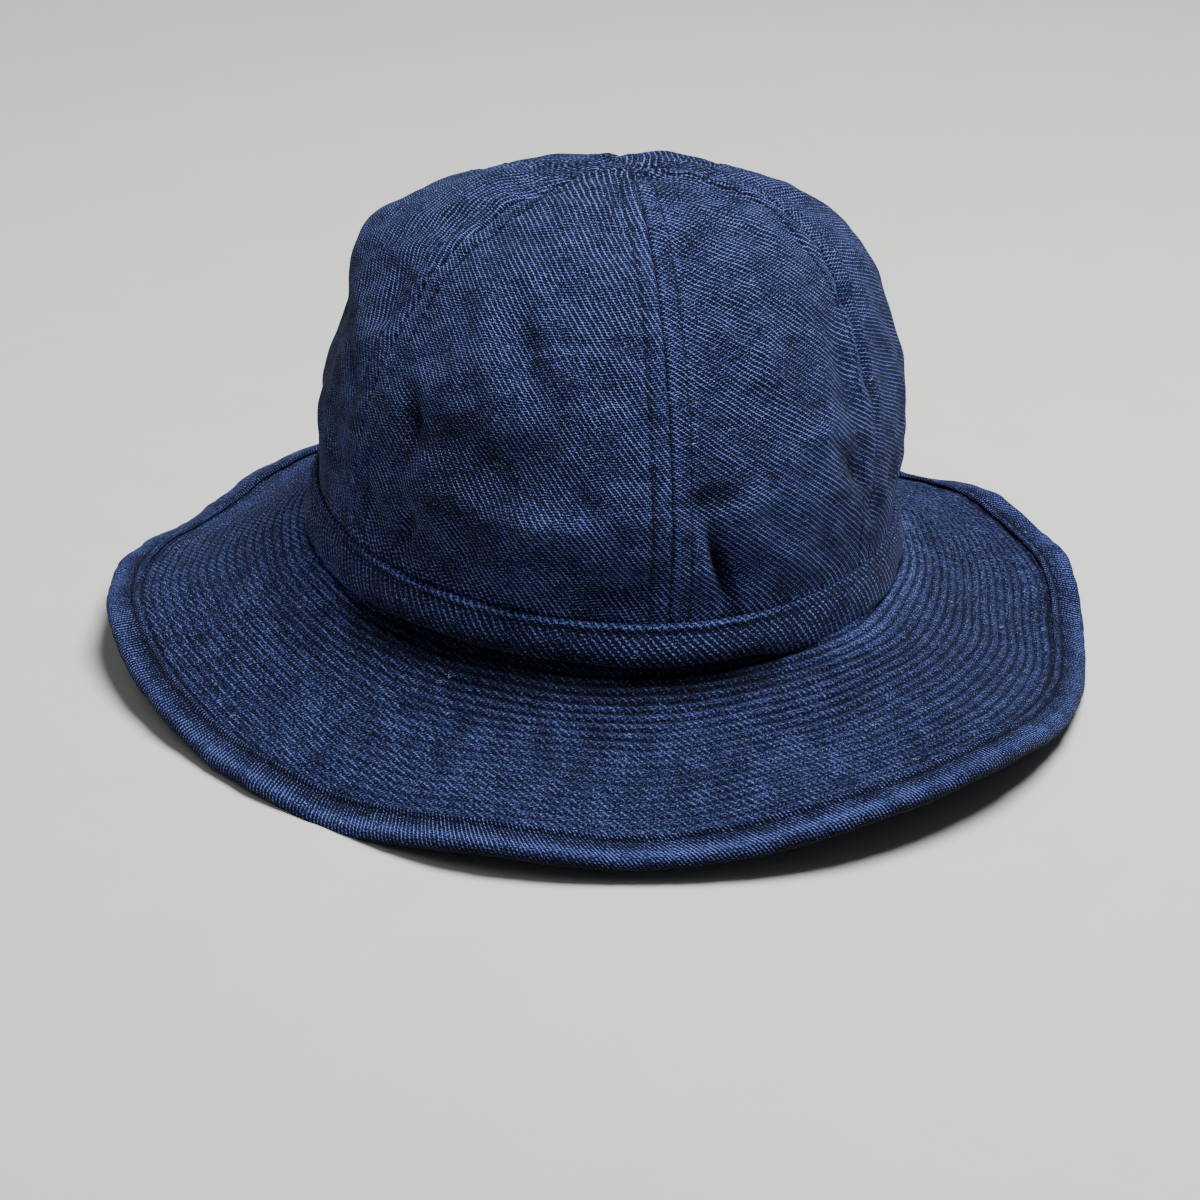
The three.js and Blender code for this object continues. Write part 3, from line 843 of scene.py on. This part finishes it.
# %% [markdown]
# ## The edge binding
# A strip cut on the bias is folded over the brim's edge and sewn through. Its inner edge is turned under,
# which makes a small ridge, and the stitches run just outside the ridge. The section is a U of thin cloth
# that follows the brim's own wave, so the two stay together. The strip's ends meet at the front in a short
# seam, and its weave leans over there, where the strip was stretched round the edge.

# %% Binding section
JOIN_ANGLE = 0.4
BINDING_STEPS = 720
LEG_END = BRIM_SLANT - BINDING_LEG
LEG_FOLD = 0.35
BINDING_RIDGE = LEG_END + 0.9
BINDING_ROW = LEG_END + 2.5
EDGE_RADIUS = 165.0
BIAS_PULL = [(0.06, 6.5, 41), (0.1, 17, 42)]


def binding_section():
    """Distance from the root and height of the points of the U section, and how many of them lie outside."""
    inner_radius = ROLLED_RADIUS - BINDING_WALL
    fold_height = inner_radius + BINDING_WALL / 2
    leg = np.linspace(LEG_END + LEG_FOLD, BRIM_SLANT, 17)[:-1]
    under = np.linspace(BRIM_SLANT, LEG_END + LEG_FOLD, 12)[1:]
    back = np.linspace(LEG_END + LEG_FOLD, BRIM_SLANT, 6)[:-1]
    bend = np.linspace(0, math.pi, 13)
    inner_bend = bend[::-2]
    outer = [
        (leg, np.full_like(leg, ROLLED_RADIUS)),
        (BRIM_SLANT + ROLLED_RADIUS * np.sin(bend), ROLLED_RADIUS * np.cos(bend)),
        (under, np.full_like(under, -ROLLED_RADIUS)),
    ]
    inner = [
        ([LEG_END], [-fold_height]),
        (back, np.full_like(back, -inner_radius)),
        (BRIM_SLANT + inner_radius * np.sin(inner_bend), inner_radius * np.cos(inner_bend)),
        (back[::-1], np.full_like(back, inner_radius)),
        ([LEG_END], [fold_height]),
    ]
    distance, above = [np.concatenate(parts) for parts in zip(*outer, *inner)]
    return distance, above, sum(len(part[0]) for part in outer)


binding_distance, binding_above, BINDING_OUTER = binding_section()
print("binding section has", len(binding_distance), "points,", BINDING_OUTER, "of them outside")

# %% Binding surface
def binding_relief(angle, distance):
    """Turned-under ridge, stitch dip, pulls of the bias and the join of the strip's ends."""
    flat = brim_flat(angle, distance)
    ridge = 0.5 * near(distance, BINDING_RIDGE, 0.6)
    dip = -0.45 * near(distance, BINDING_ROW, 0.6)
    from_join = np.radians(turn_from(angle, JOIN_ANGLE)) * EDGE_RADIUS
    join = -0.5 * near(from_join, 0, 0.5) + 0.3 * near(from_join, 1.8, 1.3)
    return ridge + dip + swells(flat, BIAS_PULL) + join


def binding_top(angle, distance):
    return brim_point(angle, distance, ROLLED_RADIUS + binding_relief(angle, distance))


def make_binding():
    angle, distance = np.meshgrid(round_angles(0, BINDING_STEPS), binding_distance, indexing="ij")
    outer = np.arange(len(binding_distance)) < BINDING_OUTER
    relief = binding_relief(angle, distance) * outer
    out = np.stack([np.maximum(binding_distance - BRIM_SLANT, 0), binding_above], axis=-1)
    out = unit(out + 1e-9)
    loops = brim_point(angle, distance + relief * out[:, 0], binding_above + relief * out[:, 1])
    steps = np.hypot(np.diff(binding_distance), np.diff(binding_above))
    along = np.concatenate([[0], np.cumsum(steps), [steps.sum() + 1.0]])
    ring_arc = run_along(brim_point(ROUND_ANGLES, BRIM_SLANT, 0.0))
    wrap_angle = round_angles(0, BINDING_STEPS, closed=True)
    girth = np.interp(wrap_angle, ROUND_ANGLES, ring_arc)
    lean = 0.9 * near_angle(wrap_angle, 0, 32)
    cloth = flat_place(girth[:, None] - lean[:, None] * along, -along)
    aside = at_side(angle)
    # The turned-under ridge rubs pale; the dark line at the stitch row is painted shade.
    wear_and_painted_light = 0.4 * near(distance, BINDING_RIDGE, 0.6) - (0.4 + 0.8 * aside) * near(distance, BINDING_ROW, 0.6)
    # A painted highlight along the rolled edge, stronger in front.
    wear_and_painted_light = wear_and_painted_light + (1.6 - 0.7 * aside) * near(distance, BRIM_SLANT - 0.4, 2.4)
    # Painted shade on the underside of the roll, where it turns under.
    wear_and_painted_light = wear_and_painted_light - 2.6 * fade(-binding_above, -1.4, 0.8)
    piece = cloth_piece("brim_binding_cloth", loops, cloth, wear_and_painted_light * outer, goes_round=True)
    return piece, ring_arc[-1], steps[: BINDING_OUTER - 1].sum()


binding_piece, binding_length, binding_width = make_binding()
print("binding strip in mm:", round(binding_length, 1), "by", round(binding_width, 1))

# %% [markdown]
# ## Stitches
# A stitch is a short piece of thread that dives into the cloth at both ends. Each one is a small tube bent
# over the surface, and a whole row is made at once: walk along the line, place stitches at an even pitch,
# let each wander a little. All the stitches of the crown, band, brim or binding join into one mesh.

# %% Stitch maker
THREAD_SIDES = 3
STITCH_STATIONS = np.array([0.0, 0.22, 0.5, 0.78, 1.0])
STITCH_LIFT = np.array([-0.3, 0.1, 0.2, 0.1, -0.3])


def stitch_points(line, normals, pitch, length, radius, seed):
    """Rings of points for every stitch along a line on the cloth, shaped (stitches, stations, sides, 3)."""
    rng = np.random.default_rng(seed)
    run = run_along(line)
    count = max(int(run[-1] / pitch), 1)
    starts = (np.arange(count) + 0.5 * (1 - length / pitch)) * run[-1] / count
    starts = starts + rng.uniform(-0.08, 0.08, count) * pitch
    lengths = length * rng.uniform(0.88, 1.06, count)
    places = starts[:, None] + lengths[:, None] * STITCH_STATIONS
    centre, normal = [
        np.stack([np.interp(places, run, axis) for axis in along.T], axis=-1) for along in (line, normals)
    ]
    normal = unit(normal)
    forward = unit(np.gradient(centre, axis=1))
    side = unit(np.cross(forward, normal))
    lean = rng.normal(0, 0.09, (count, 1, 1))
    centre = centre + normal * STITCH_LIFT[:, None] + side * lean * (STITCH_STATIONS[:, None] - 0.5) * length
    turn = np.arange(THREAD_SIDES) * 2 * math.pi / THREAD_SIDES
    ring = np.cos(turn)[:, None] * side[:, :, None, :] + np.sin(turn)[:, None] * normal[:, :, None, :]
    return centre[:, :, None, :] + ring * radius


def stitch_piece(name, rows):
    """One mesh of all the stitches in rows, each row an array from stitch_points."""
    rings = np.concatenate(rows)
    count, stations, sides = rings.shape[:3]
    station, side = np.meshgrid(np.arange(stations - 1), np.arange(sides), indexing="ij")
    corner = station * sides + side
    beside = station * sides + (side + 1) % sides
    walls = np.stack([corner, beside, beside + sides, corner + sides], axis=-1).reshape(-1, 4)
    first = np.arange(count)[:, None, None] * stations * sides
    caps = np.stack([np.arange(sides)[::-1], np.arange(sides) + (stations - 1) * sides])
    wall_faces = (walls + first).reshape(-1, 4).tolist()
    cap_faces = (caps + first).reshape(-1, sides).tolist()
    piece = piece_from(name, rings.reshape(-1, 3), wall_faces + cap_faces)
    triangles = 2 * len(wall_faces) + (sides - 2) * len(cap_faces)
    print(name, "has", count, "stitches and", triangles, "triangles")
    return piece


print("a stitch is made of", len(STITCH_STATIONS), "rings of", THREAD_SIDES, "points")

# %% Seam stitches
SEAM_THREAD = {"pitch": 2.9, "length": 2.3, "radius": 0.27}
ROW_TOP_CLIMB = 0.972
SUNK_WHERE_UNCLEAR = 0.25


def seam_row(index, from_last, seed):
    """Stitches beside one edge of a gore."""
    climb = np.linspace(0.0, ROW_TOP_CLIMB, 900)
    width = gore_width(index, climb)
    across = ROW_FROM_SEAM * seam_scale(width) / width
    if from_last:
        across = 1 - across
    line = gore_face(index, across, climb)
    normals = dome_normal(gore_angle(index, across, climb), climb)
    seam = gore_seams(index)[from_last]
    sunk = SUNK_WHERE_UNCLEAR * (1 - seam_clear(seam, climb))
    return stitch_points(line - normals * sunk[:, None], normals, **SEAM_THREAD, seed=seed)


seam_rows = []
for index in range(len(GORES)):
    seam_rows.append(seam_row(index, False, 100 + index))
    seam_rows.append(seam_row(index, True, 200 + index))
seam_stitches = stitch_piece("crown_seam_stitches", seam_rows)

# %% Band stitches
BAND_THREAD = {"pitch": 3.0, "length": 2.3, "radius": 0.26}
FINE_ROUND = np.linspace(0, 360, 2881)
OUTER_SIDE = slice(16, 29)


def ring_of_stitches(surface, plain, place, steps, thread, seed):
    """A row of stitches round the hat on a surface, standing up from a plainer one without its relief."""
    place = place + 0 * FINE_ROUND
    turn, move = steps
    around = plain(FINE_ROUND + turn, place) - plain(FINE_ROUND - turn, place)
    across = plain(FINE_ROUND, place + move) - plain(FINE_ROUND, place - move)
    return stitch_points(surface(FINE_ROUND, place), unit(np.cross(around, across)), **thread, seed=seed)


def band_outer(angle, height):
    offset = np.interp(-height, -band_curve[OUTER_SIDE, 1], band_curve[OUTER_SIDE, 0])
    return band_face(angle, offset, height)


band_row = ring_of_stitches(band_outer, band_outer, BAND_ROW_HEIGHT, (0.2, 0.3), BAND_THREAD, 301)
band_stitches = stitch_piece("crown_band_stitches", [band_row])

# %% Brim stitches
BRIM_THREAD = {"pitch": 3.1, "length": 2.4, "radius": 0.26}
BRIM_NORMAL_STEPS = (0.3, 0.6)


def brim_smooth(angle, distance):
    return brim_point(angle, distance, BRIM_WALL / 2)


brim_rows = []
for number, distance in enumerate(QUILT_ROWS):
    place = distance - row_wander(FINE_ROUND, distance)
    row = ring_of_stitches(brim_top, brim_smooth, place, BRIM_NORMAL_STEPS, BRIM_THREAD, 400 + number)
    brim_rows.append(row)
brim_stitches = stitch_piece("brim_stitches", brim_rows)

# %% Binding stitches
BINDING_THREAD = {"pitch": 3.0, "length": 2.4, "radius": 0.26}
binding_row = ring_of_stitches(
    binding_top, brim_smooth, BINDING_ROW, BRIM_NORMAL_STEPS, BINDING_THREAD, 501
)
binding_stitches = stitch_piece("brim_binding_stitches", [binding_row])

# %% [markdown]
# ## The twill weave
# Denim is a twill: each warp thread floats over two weft threads and dips under one, one step later than
# its neighbour, so the floats line up in slanting wales, with short rungs of weft between them. Here the
# threads are thick and uneven. A brick texture cannot step like that, so the weave is worked out with Math
# nodes from the flat place on the cloth in millimetres, once, in a node group. It gives a height, a random
# value for each float, a slow one along each thread and the nap of the loose fibres.

# %% Node helpers
def wire(tree, socket, value):
    """Links an output to a socket, or sets the socket's own value."""
    if isinstance(value, bpy.types.NodeSocket):
        tree.links.new(value, socket)
    else:
        socket.default_value = value


def set_inputs(tree, node, inputs):
    for label, value in inputs.items():
        wire(tree, node.inputs[label], value)


def add(tree, kind, inputs=None, **settings):
    """A new node with its settings, and with its inputs linked or set by name or number."""
    node = tree.nodes.new("ShaderNode" + kind)
    for name, value in settings.items():
        setattr(node, name, value)
    set_inputs(tree, node, inputs or {})
    return node


def maths(tree, operation, *values):
    return add(tree, "Math", dict(enumerate(values)), operation=operation).outputs[0]


def combine(tree, x, y):
    return add(tree, "CombineXYZ", {"X": x, "Y": y}).outputs[0]


def noise(tree, place, scale, detail, roughness=0.5):
    inputs = {"Vector": place, "Scale": scale, "Detail": detail, "Roughness": roughness}
    return add(tree, "TexNoise", inputs)


def ripple(tree, phase):
    """A soft wave from 0 to 1 that peaks at every whole number of the phase."""
    wave = maths(tree, "COSINE", maths(tree, "MULTIPLY", phase, 2 * math.pi))
    return maths(tree, "MULTIPLY_ADD", wave, 0.5, 0.5)


def stretch(tree, value, low, high, to_low=0.0, to_high=1.0):
    """A smooth step from one range of values to another."""
    inputs = dict(enumerate((value, low, high, to_low, to_high)))
    return add(tree, "MapRange", inputs, interpolation_type="SMOOTHSTEP").outputs[0]


def centred(tree, value, share):
    """A value from 0 to 1 moved to lie about zero and scaled."""
    return maths(tree, "MULTIPLY", maths(tree, "SUBTRACT", value, 0.5), share)


def mix_colours(tree, share, first, second):
    node = add(tree, "Mix", {}, data_type="RGBA")
    set_inputs(tree, node, {"Factor": share, "A": first, "B": second})
    return node.outputs["Result"]


def new_group(name, inputs, outputs):
    """An empty node group with named sockets: (name, kind, default) in and (name, kind) out."""
    tree = bpy.data.node_groups.new(name, "ShaderNodeTree")
    for label, kind, default in inputs:
        socket = tree.interface.new_socket(label, in_out="INPUT", socket_type=kind)
        if default is not None:
            socket.default_value = default
    for label, kind in outputs:
        tree.interface.new_socket(label, in_out="OUTPUT", socket_type=kind)
    entry = tree.nodes.new("NodeGroupInput")
    leave = tree.nodes.new("NodeGroupOutput")
    return tree, entry.outputs, leave


def new_material(name):
    """A material with its node tree and its Principled shader."""
    material = bpy.data.materials.new(name)
    material.use_nodes = True
    return material, material.node_tree, material.node_tree.nodes["Principled BSDF"]


print("node helpers are ready for Blender", bpy.app.version_string)

# %% Twill group
VALUE, VECTOR, COLOUR = "NodeSocketFloat", "NodeSocketVector", "NodeSocketColor"
FLOAT_STEPS = 3.0
CREST_PLACE = 0.3
RUNG_LEAN = -0.4


def drifted(tree, cloth, wander):
    """Moves the flat place about a little, so that no thread runs straight."""
    drift = noise(tree, cloth, 0.16, 4.0, 0.6).outputs["Color"]
    aside = add(tree, "VectorMath", {0: drift, 1: (0.5, 0.5, 0.5)}, operation="SUBTRACT").outputs[0]
    moved = add(tree, "VectorMath", {0: aside, "Scale": wander}, operation="SCALE").outputs[0]
    place = add(tree, "VectorMath", {0: cloth, 1: moved}, operation="ADD").outputs[0]
    return add(tree, "SeparateXYZ", {0: place}).outputs


def twill_group():
    tree, given, leave = new_group(
        "slubby_twill",
        [
            ("Cloth", VECTOR, None),
            ("Fibre", VECTOR, None),
            ("Warp", VALUE, 0.66),
            ("Weft", VALUE, 0.94),
            ("Rung", VALUE, 0.5),
            ("Wander", VALUE, 0.9),
        ],
        [("Height", VALUE), ("Float", VALUE), ("Slub", VALUE), ("Nap", VALUE)],
    )
    place = drifted(tree, given["Cloth"], given["Wander"])
    warp = maths(tree, "DIVIDE", place["X"], given["Warp"])
    weft = maths(tree, "DIVIDE", place["Y"], given["Weft"])

    stepped = maths(tree, "DIVIDE", maths(tree, "ADD", warp, weft), FLOAT_STEPS)
    wale_number = maths(tree, "FLOOR", stepped)
    across = maths(tree, "FRACT", stepped)
    crest = maths(tree, "POWER", ripple(tree, maths(tree, "SUBTRACT", across, CREST_PLACE)), 2.0)
    patches = noise(tree, given["Cloth"], 0.08, 2.0).outputs["Fac"]
    wale = maths(tree, "MULTIPLY", crest, stretch(tree, patches, 0.35, 0.65, 0.72, 1.05))

    shift = add(tree, "TexWhiteNoise", {}, noise_dimensions="1D")
    wire(tree, shift.inputs["W"], wale_number)
    rung = maths(tree, "ADD", weft, shift.outputs["Value"])
    rung = maths(tree, "ADD", rung, maths(tree, "MULTIPLY", across, RUNG_LEAN))
    weft_number = maths(tree, "FLOOR", rung)
    weft_round = ripple(tree, maths(tree, "SUBTRACT", rung, 0.5))
    bead = maths(tree, "MULTIPLY_ADD", weft_round, 0.5, 0.5)
    beaded_wale = maths(tree, "MULTIPLY", wale, bead)
    height = maths(tree, "MAXIMUM", beaded_wale, maths(tree, "MULTIPLY", weft_round, given["Rung"]))

    tone = add(tree, "TexWhiteNoise", {}, noise_dimensions="2D")
    wire(tree, tone.inputs["Vector"], combine(tree, wale_number, weft_number))
    thread_x = maths(tree, "MULTIPLY", wale_number, 3.7)
    thread_y = maths(tree, "MULTIPLY", place["Y"], 0.09)
    slub = noise(tree, combine(tree, thread_x, thread_y), 1.0, 2.0)
    fuzz = noise(tree, given["Fibre"], 2.0, 1.0, 0.6)
    set_inputs(tree, leave, {"Height": height, "Float": tone.outputs["Value"]})
    set_inputs(tree, leave, {"Slub": slub.outputs["Fac"], "Nap": fuzz.outputs["Fac"]})
    return tree


twill = twill_group()
print("twill group has", len(twill.nodes), "nodes")

# %% [markdown]
# ## Indigo and its fading
# Indigo sits on the outside of the thread, so the tops of the floats rub pale and the gaps between stay
# almost black. A second group turns the weave's values into colour. It adds up one tone, from dark to pale:
# the weave's height, the nap of loose fibres, the wear and the painted light and shade that are stored on
# the mesh beside folds, seams and edges, and a slow cloudiness over the cloth. The tone picks between three
# blues. A few floats stay undyed as pale flecks.

# %% Indigo group
MIDDLE_TONE = 0.45
SLUB_SHARE = 0.2
WEAR_AND_LIGHT_SHARE = 0.2
FLUFF_SHARE = 0.26
PALE_FLECK = (0.34, 0.4, 0.66, 1)


def indigo_group():
    tree, given, leave = new_group(
        "faded_indigo",
        [
            ("Cloth", VECTOR, None),
            ("Height", VALUE, 0.5),
            ("Float", VALUE, 0.5),
            ("Slub", VALUE, 0.5),
            ("Nap", VALUE, 0.5),
            ("Wear and painted light", VALUE, 0.0),
            ("Weave", VALUE, 1.0),
            ("Fuzz", VALUE, 2.3),
            ("Dark", COLOUR, (0.004, 0.006, 0.016, 1)),
            ("Middle", COLOUR, (0.03, 0.055, 0.15, 1)),
            ("Pale", COLOUR, (0.16, 0.25, 0.5, 1)),
            ("Cloudiness", VALUE, 0.3),
        ],
        [("Colour", COLOUR), ("Bump", VALUE), ("Roughness", VALUE)],
    )
    strength = maths(tree, "MULTIPLY_ADD", given["Float"], 0.35, 0.8)
    tone = maths(tree, "MULTIPLY", given["Height"], strength)
    from_middle = maths(tree, "SUBTRACT", tone, MIDDLE_TONE)
    tone = maths(tree, "MULTIPLY_ADD", from_middle, given["Weave"], MIDDLE_TONE)
    cloud = noise(tree, given["Cloth"], 0.028, 3.0).outputs["Fac"]
    for value in (
        centred(tree, given["Slub"], SLUB_SHARE),
        centred(tree, given["Nap"], given["Fuzz"]),
        # Wear and painted light and shade from the mesh, added to the tone.
        maths(tree, "MULTIPLY", given["Wear and painted light"], WEAR_AND_LIGHT_SHARE),
        centred(tree, cloud, given["Cloudiness"]),
    ):
        tone = maths(tree, "ADD", tone, value)
    body = mix_colours(tree, stretch(tree, tone, 0.15, 0.54), given["Dark"], given["Middle"])
    rubbed = mix_colours(tree, stretch(tree, tone, 0.52, 1.04), body, given["Pale"])
    rare = stretch(tree, given["Float"], 0.9978, 0.9988)
    fleck = maths(tree, "MULTIPLY", rare, stretch(tree, given["Nap"], 0.54, 0.64))
    flecked = mix_colours(tree, fleck, rubbed, PALE_FLECK)
    fluff = maths(tree, "MULTIPLY", maths(tree, "MULTIPLY", given["Nap"], given["Fuzz"]), FLUFF_SHARE)
    bump = maths(tree, "MULTIPLY_ADD", given["Height"], given["Weave"], fluff)
    roughness = stretch(tree, tone, 0.0, 1.2, 0.98, 0.8)
    set_inputs(tree, leave, {"Colour": flecked, "Bump": bump, "Roughness": roughness})
    return tree


indigo = indigo_group()
print("indigo group has", len(indigo.nodes), "nodes")

# %% [markdown]
# ## Denim materials
# Crown, band, brim and binding come from the same cloth but are cut in different directions and worn
# differently, so each has its own material: its turn of the grain, the spacing of its threads in mm, and
# how strongly the weave and the fuzz show. The Principled shader stays in the material. A little sheen
# stands for the loose fibres that catch light at grazing angles.

# %% Denim materials
NAVY_GAP = (0.001, 0.0014, 0.0048, 1)
INDIGO = (0.0165, 0.0243, 0.0895, 1)
PALE_INDIGO = (0.155, 0.228, 0.68, 1)
SHEEN_TINT = (0.6, 0.72, 1.0, 1)
CLOUDINESS = 0.1
THREAD_RELIEF = 0.35 * MM
DENIMS = table(
    ("name", "grain", "warp", "weft", "rung", "nap", "weave_depth", "fuzz"),
    [
        ("crown_denim", 0, 0.66, 0.94, 0.47, 0.37, 1.55, 3.1),
        ("band_denim", -2, 0.74, 1.02, 0.28, 0.42, 0.85, 2.7),
        ("brim_denim", -5, 0.66, 0.94, 0.38, 0.36, 0.62, 3.0),
        ("binding_denim", 35, 0.48, 0.76, 0.2, 0.5, 1.0, 1.8),
    ],
)


def denim(name, grain, warp, weft, rung, nap, weave_depth, fuzz):
    material, tree, shader = new_material(name)
    flat = add(tree, "UVMap", uv_map="cloth").outputs["UV"]
    cloth = add(tree, "Mapping", {"Vector": flat, "Rotation": (0, 0, math.radians(grain))}).outputs["Vector"]
    combed = add(tree, "UVMap", uv_map="fibre").outputs["UV"]
    fibre = add(tree, "Mapping", {"Vector": combed, "Scale": (0.5 / nap, 0.5 / nap, 1)}).outputs["Vector"]
    threads = {"Cloth": cloth, "Fibre": fibre, "Warp": warp, "Weft": weft, "Rung": rung}
    weave = add(tree, "Group", threads, node_tree=twill)
    # The mesh's wear and painted light and shade, read as an attribute.
    wear_and_light_layer = add(tree, "Attribute", attribute_name="wear_and_painted_light").outputs["Fac"]
    dye = add(tree, "Group", {"Cloth": cloth, "Wear and painted light": wear_and_light_layer}, node_tree=indigo)
    set_inputs(tree, dye, {label: weave.outputs[label] for label in ("Height", "Float", "Slub", "Nap")})
    set_inputs(tree, dye, {"Weave": weave_depth, "Fuzz": fuzz, "Cloudiness": CLOUDINESS})
    set_inputs(tree, dye, {"Dark": NAVY_GAP, "Middle": INDIGO, "Pale": PALE_INDIGO})
    bump = {"Height": dye.outputs["Bump"], "Strength": 1.0, "Distance": THREAD_RELIEF}
    relief = add(tree, "Bump", bump).outputs["Normal"]
    looks = {"Base Color": dye.outputs["Colour"], "Roughness": dye.outputs["Roughness"], "Normal": relief}
    set_inputs(tree, shader, looks)
    set_inputs(tree, shader, {"Specular IOR Level": 0.15, "Sheen Weight": 0.05})
    set_inputs(tree, shader, {"Sheen Roughness": 0.45, "Sheen Tint": SHEEN_TINT})
    return material


crown_denim, band_denim, brim_denim, binding_denim = [denim(**row) for row in DENIMS]
print("made", len(bpy.data.node_groups), "node groups and four denims")

# %% [markdown]
# ## Thread
# The stitches are a dark navy thread, almost lost in the cloth. Its twist shows as fine slanting bumps. The
# thread is too small for a group of its own, so its material is two noises.

# %% Thread material
THREAD_BLUES = [(0.002, 0.003, 0.008, 1), (0.012, 0.019, 0.052, 1)]
TWIST_RELIEF = 0.1 * MM


def thread_material():
    material, tree, shader = new_material("navy_thread")
    where = add(tree, "TexCoord").outputs["Object"]
    patchy = noise(tree, where, 900.0, 2.0).outputs["Fac"]
    twist = noise(tree, where, 2600.0, 1.0).outputs["Fac"]
    relief = add(tree, "Bump", {"Height": twist, "Strength": 0.6, "Distance": TWIST_RELIEF}).outputs["Normal"]
    colour = mix_colours(tree, patchy, *THREAD_BLUES)
    set_inputs(tree, shader, {"Base Color": colour, "Normal": relief})
    set_inputs(tree, shader, {"Roughness": 0.7, "Specular IOR Level": 0.2})
    return material


navy_thread = thread_material()
print("thread material:", navy_thread.name)

# %% [markdown]
# ## Dress the frame
# Every cloth piece takes the place of its CAD node, and all pieces and their stitches ride on the hat's one
# body.

# %% Place the pieces
ALL_STITCHES = [seam_stitches, band_stitches, brim_stitches, binding_stitches]


def dress(piece, node, material):
    piece.data.materials.append(material)
    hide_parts(node)
    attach(piece, "root")


for row, (piece, width, area) in zip(GORES, gore_pieces):
    dress(piece, row["name"], crown_denim)
dress(band_piece, "crown_band", band_denim)
dress(brim_piece, "brim", brim_denim)
dress(binding_piece, "brim_binding", binding_denim)
STITCH_SLOTS = ["crown_denim", "band_denim", "brim_denim", "binding_denim"]
for piece, slot in zip(ALL_STITCHES, STITCH_SLOTS):
    piece.data.materials.append(navy_thread)
    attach(piece, "root")
print("dressed", len(gore_pieces) + 3, "nodes")

flat_edge = brim_flat(ROUND_ANGLES, BRIM_SLANT)

# %% [markdown]
# ## Studio
# A plain pale floor, one large soft light above and a little to the right, and a weak one from the left.
# The darkest place is under the band's foot, so the fill is kept low.

# %% Floor and lights
FLOOR_REACH = 4.0
FLOOR_GREYS = [(0.74, 0.74, 0.735, 1), (0.78, 0.78, 0.775, 1)]


def pale_floor():
    mesh = bpy.data.meshes.new("floor")
    corners = [(-1, -1), (1, -1), (1, 1), (-1, 1)]
    mesh.from_pydata([(x * FLOOR_REACH, y * FLOOR_REACH, 0) for x, y in corners], [], [(0, 1, 2, 3)])
    floor = new_object("floor", mesh)
    material, tree, shader = new_material("pale_floor")
    grain = noise(tree, add(tree, "TexCoord").outputs["Object"], 40.0, 2.0).outputs["Fac"]
    set_inputs(tree, shader, {"Base Color": mix_colours(tree, grain, *FLOOR_GREYS), "Roughness": 0.9})
    mesh.materials.append(material)


def soft_light(name, place, target, size, power, colour):
    data = bpy.data.lights.new(name, "AREA")
    data.shape = "DISK"
    data.size = size
    data.energy = power
    data.color = colour
    light = new_object(name, data)
    light.location = place
    light.rotation_mode = "QUATERNION"
    light.rotation_quaternion = (Vector(target) - Vector(place)).to_track_quat("-Z", "Y")


pale_floor()
HAT_TOP = (0.0, 0.0, 0.08)
soft_light("overhead", (0.3, 0.0, 1.25), HAT_TOP, 0.75, 30.0, (1.0, 0.99, 0.97))
soft_light("left_fill", (-0.7, -0.3, 1.1), HAT_TOP, 0.9, 1.4, (1.0, 1.0, 1.0))
world = bpy.data.worlds.new("studio")
world.use_nodes = True
sky = world.node_tree.nodes["Background"]
set_inputs(world.node_tree, sky, {"Color": (0.9, 0.92, 0.95, 1), "Strength": 0.09})
bpy.context.scene.world = world
print("lights:", [light.name for light in bpy.data.lights])

# %% [markdown]
# ## Camera
# The camera looks down at the hat from the front, a little from the left, with a long lens. Its place is
# worked out from a turn, a rise, a roll and a distance, so that each can be matched on its own.

# %% Camera
CAMERA_TURN = math.radians(-7)
CAMERA_RISE = math.radians(25)
CAMERA_ROLL = math.radians(1.2)
CAMERA_DISTANCE = 1.35
CAMERA_LENS = 132.9
AIM_BELOW_BAND = Vector((-0.001524, -0.03657))


def photo_camera():
    back = Vector((
        math.sin(CAMERA_TURN) * math.cos(CAMERA_RISE),
        -math.cos(CAMERA_TURN) * math.cos(CAMERA_RISE),
        math.sin(CAMERA_RISE),
    ))
    level_right = Vector((math.cos(CAMERA_TURN), math.sin(CAMERA_TURN), 0))
    level_up = back.cross(level_right)
    right = math.cos(CAMERA_ROLL) * level_right + math.sin(CAMERA_ROLL) * level_up
    up = math.cos(CAMERA_ROLL) * level_up - math.sin(CAMERA_ROLL) * level_right
    data = bpy.data.cameras.new("camera")
    data.lens = CAMERA_LENS
    data.sensor_width = 36.0
    data.sensor_fit = "HORIZONTAL"
    data.clip_start = 0.05
    camera = new_object("camera", data)
    aim = Vector(HAT_MIDDLE * MM) + right * AIM_BELOW_BAND.x + up * AIM_BELOW_BAND.y
    place = aim + back * CAMERA_DISTANCE
    camera.matrix_world = Matrix.Translation(place) @ Matrix((right, up, back)).transposed().to_4x4()
    bpy.context.scene.camera = camera
    return camera


camera = photo_camera()
print("camera at", [round(value, 3) for value in camera.matrix_world.translation])

# %% [markdown]
# ## Last step
# The view layer is brought up to date, with every piece in its place.

# %% Update the view layer
bpy.context.view_layer.update()
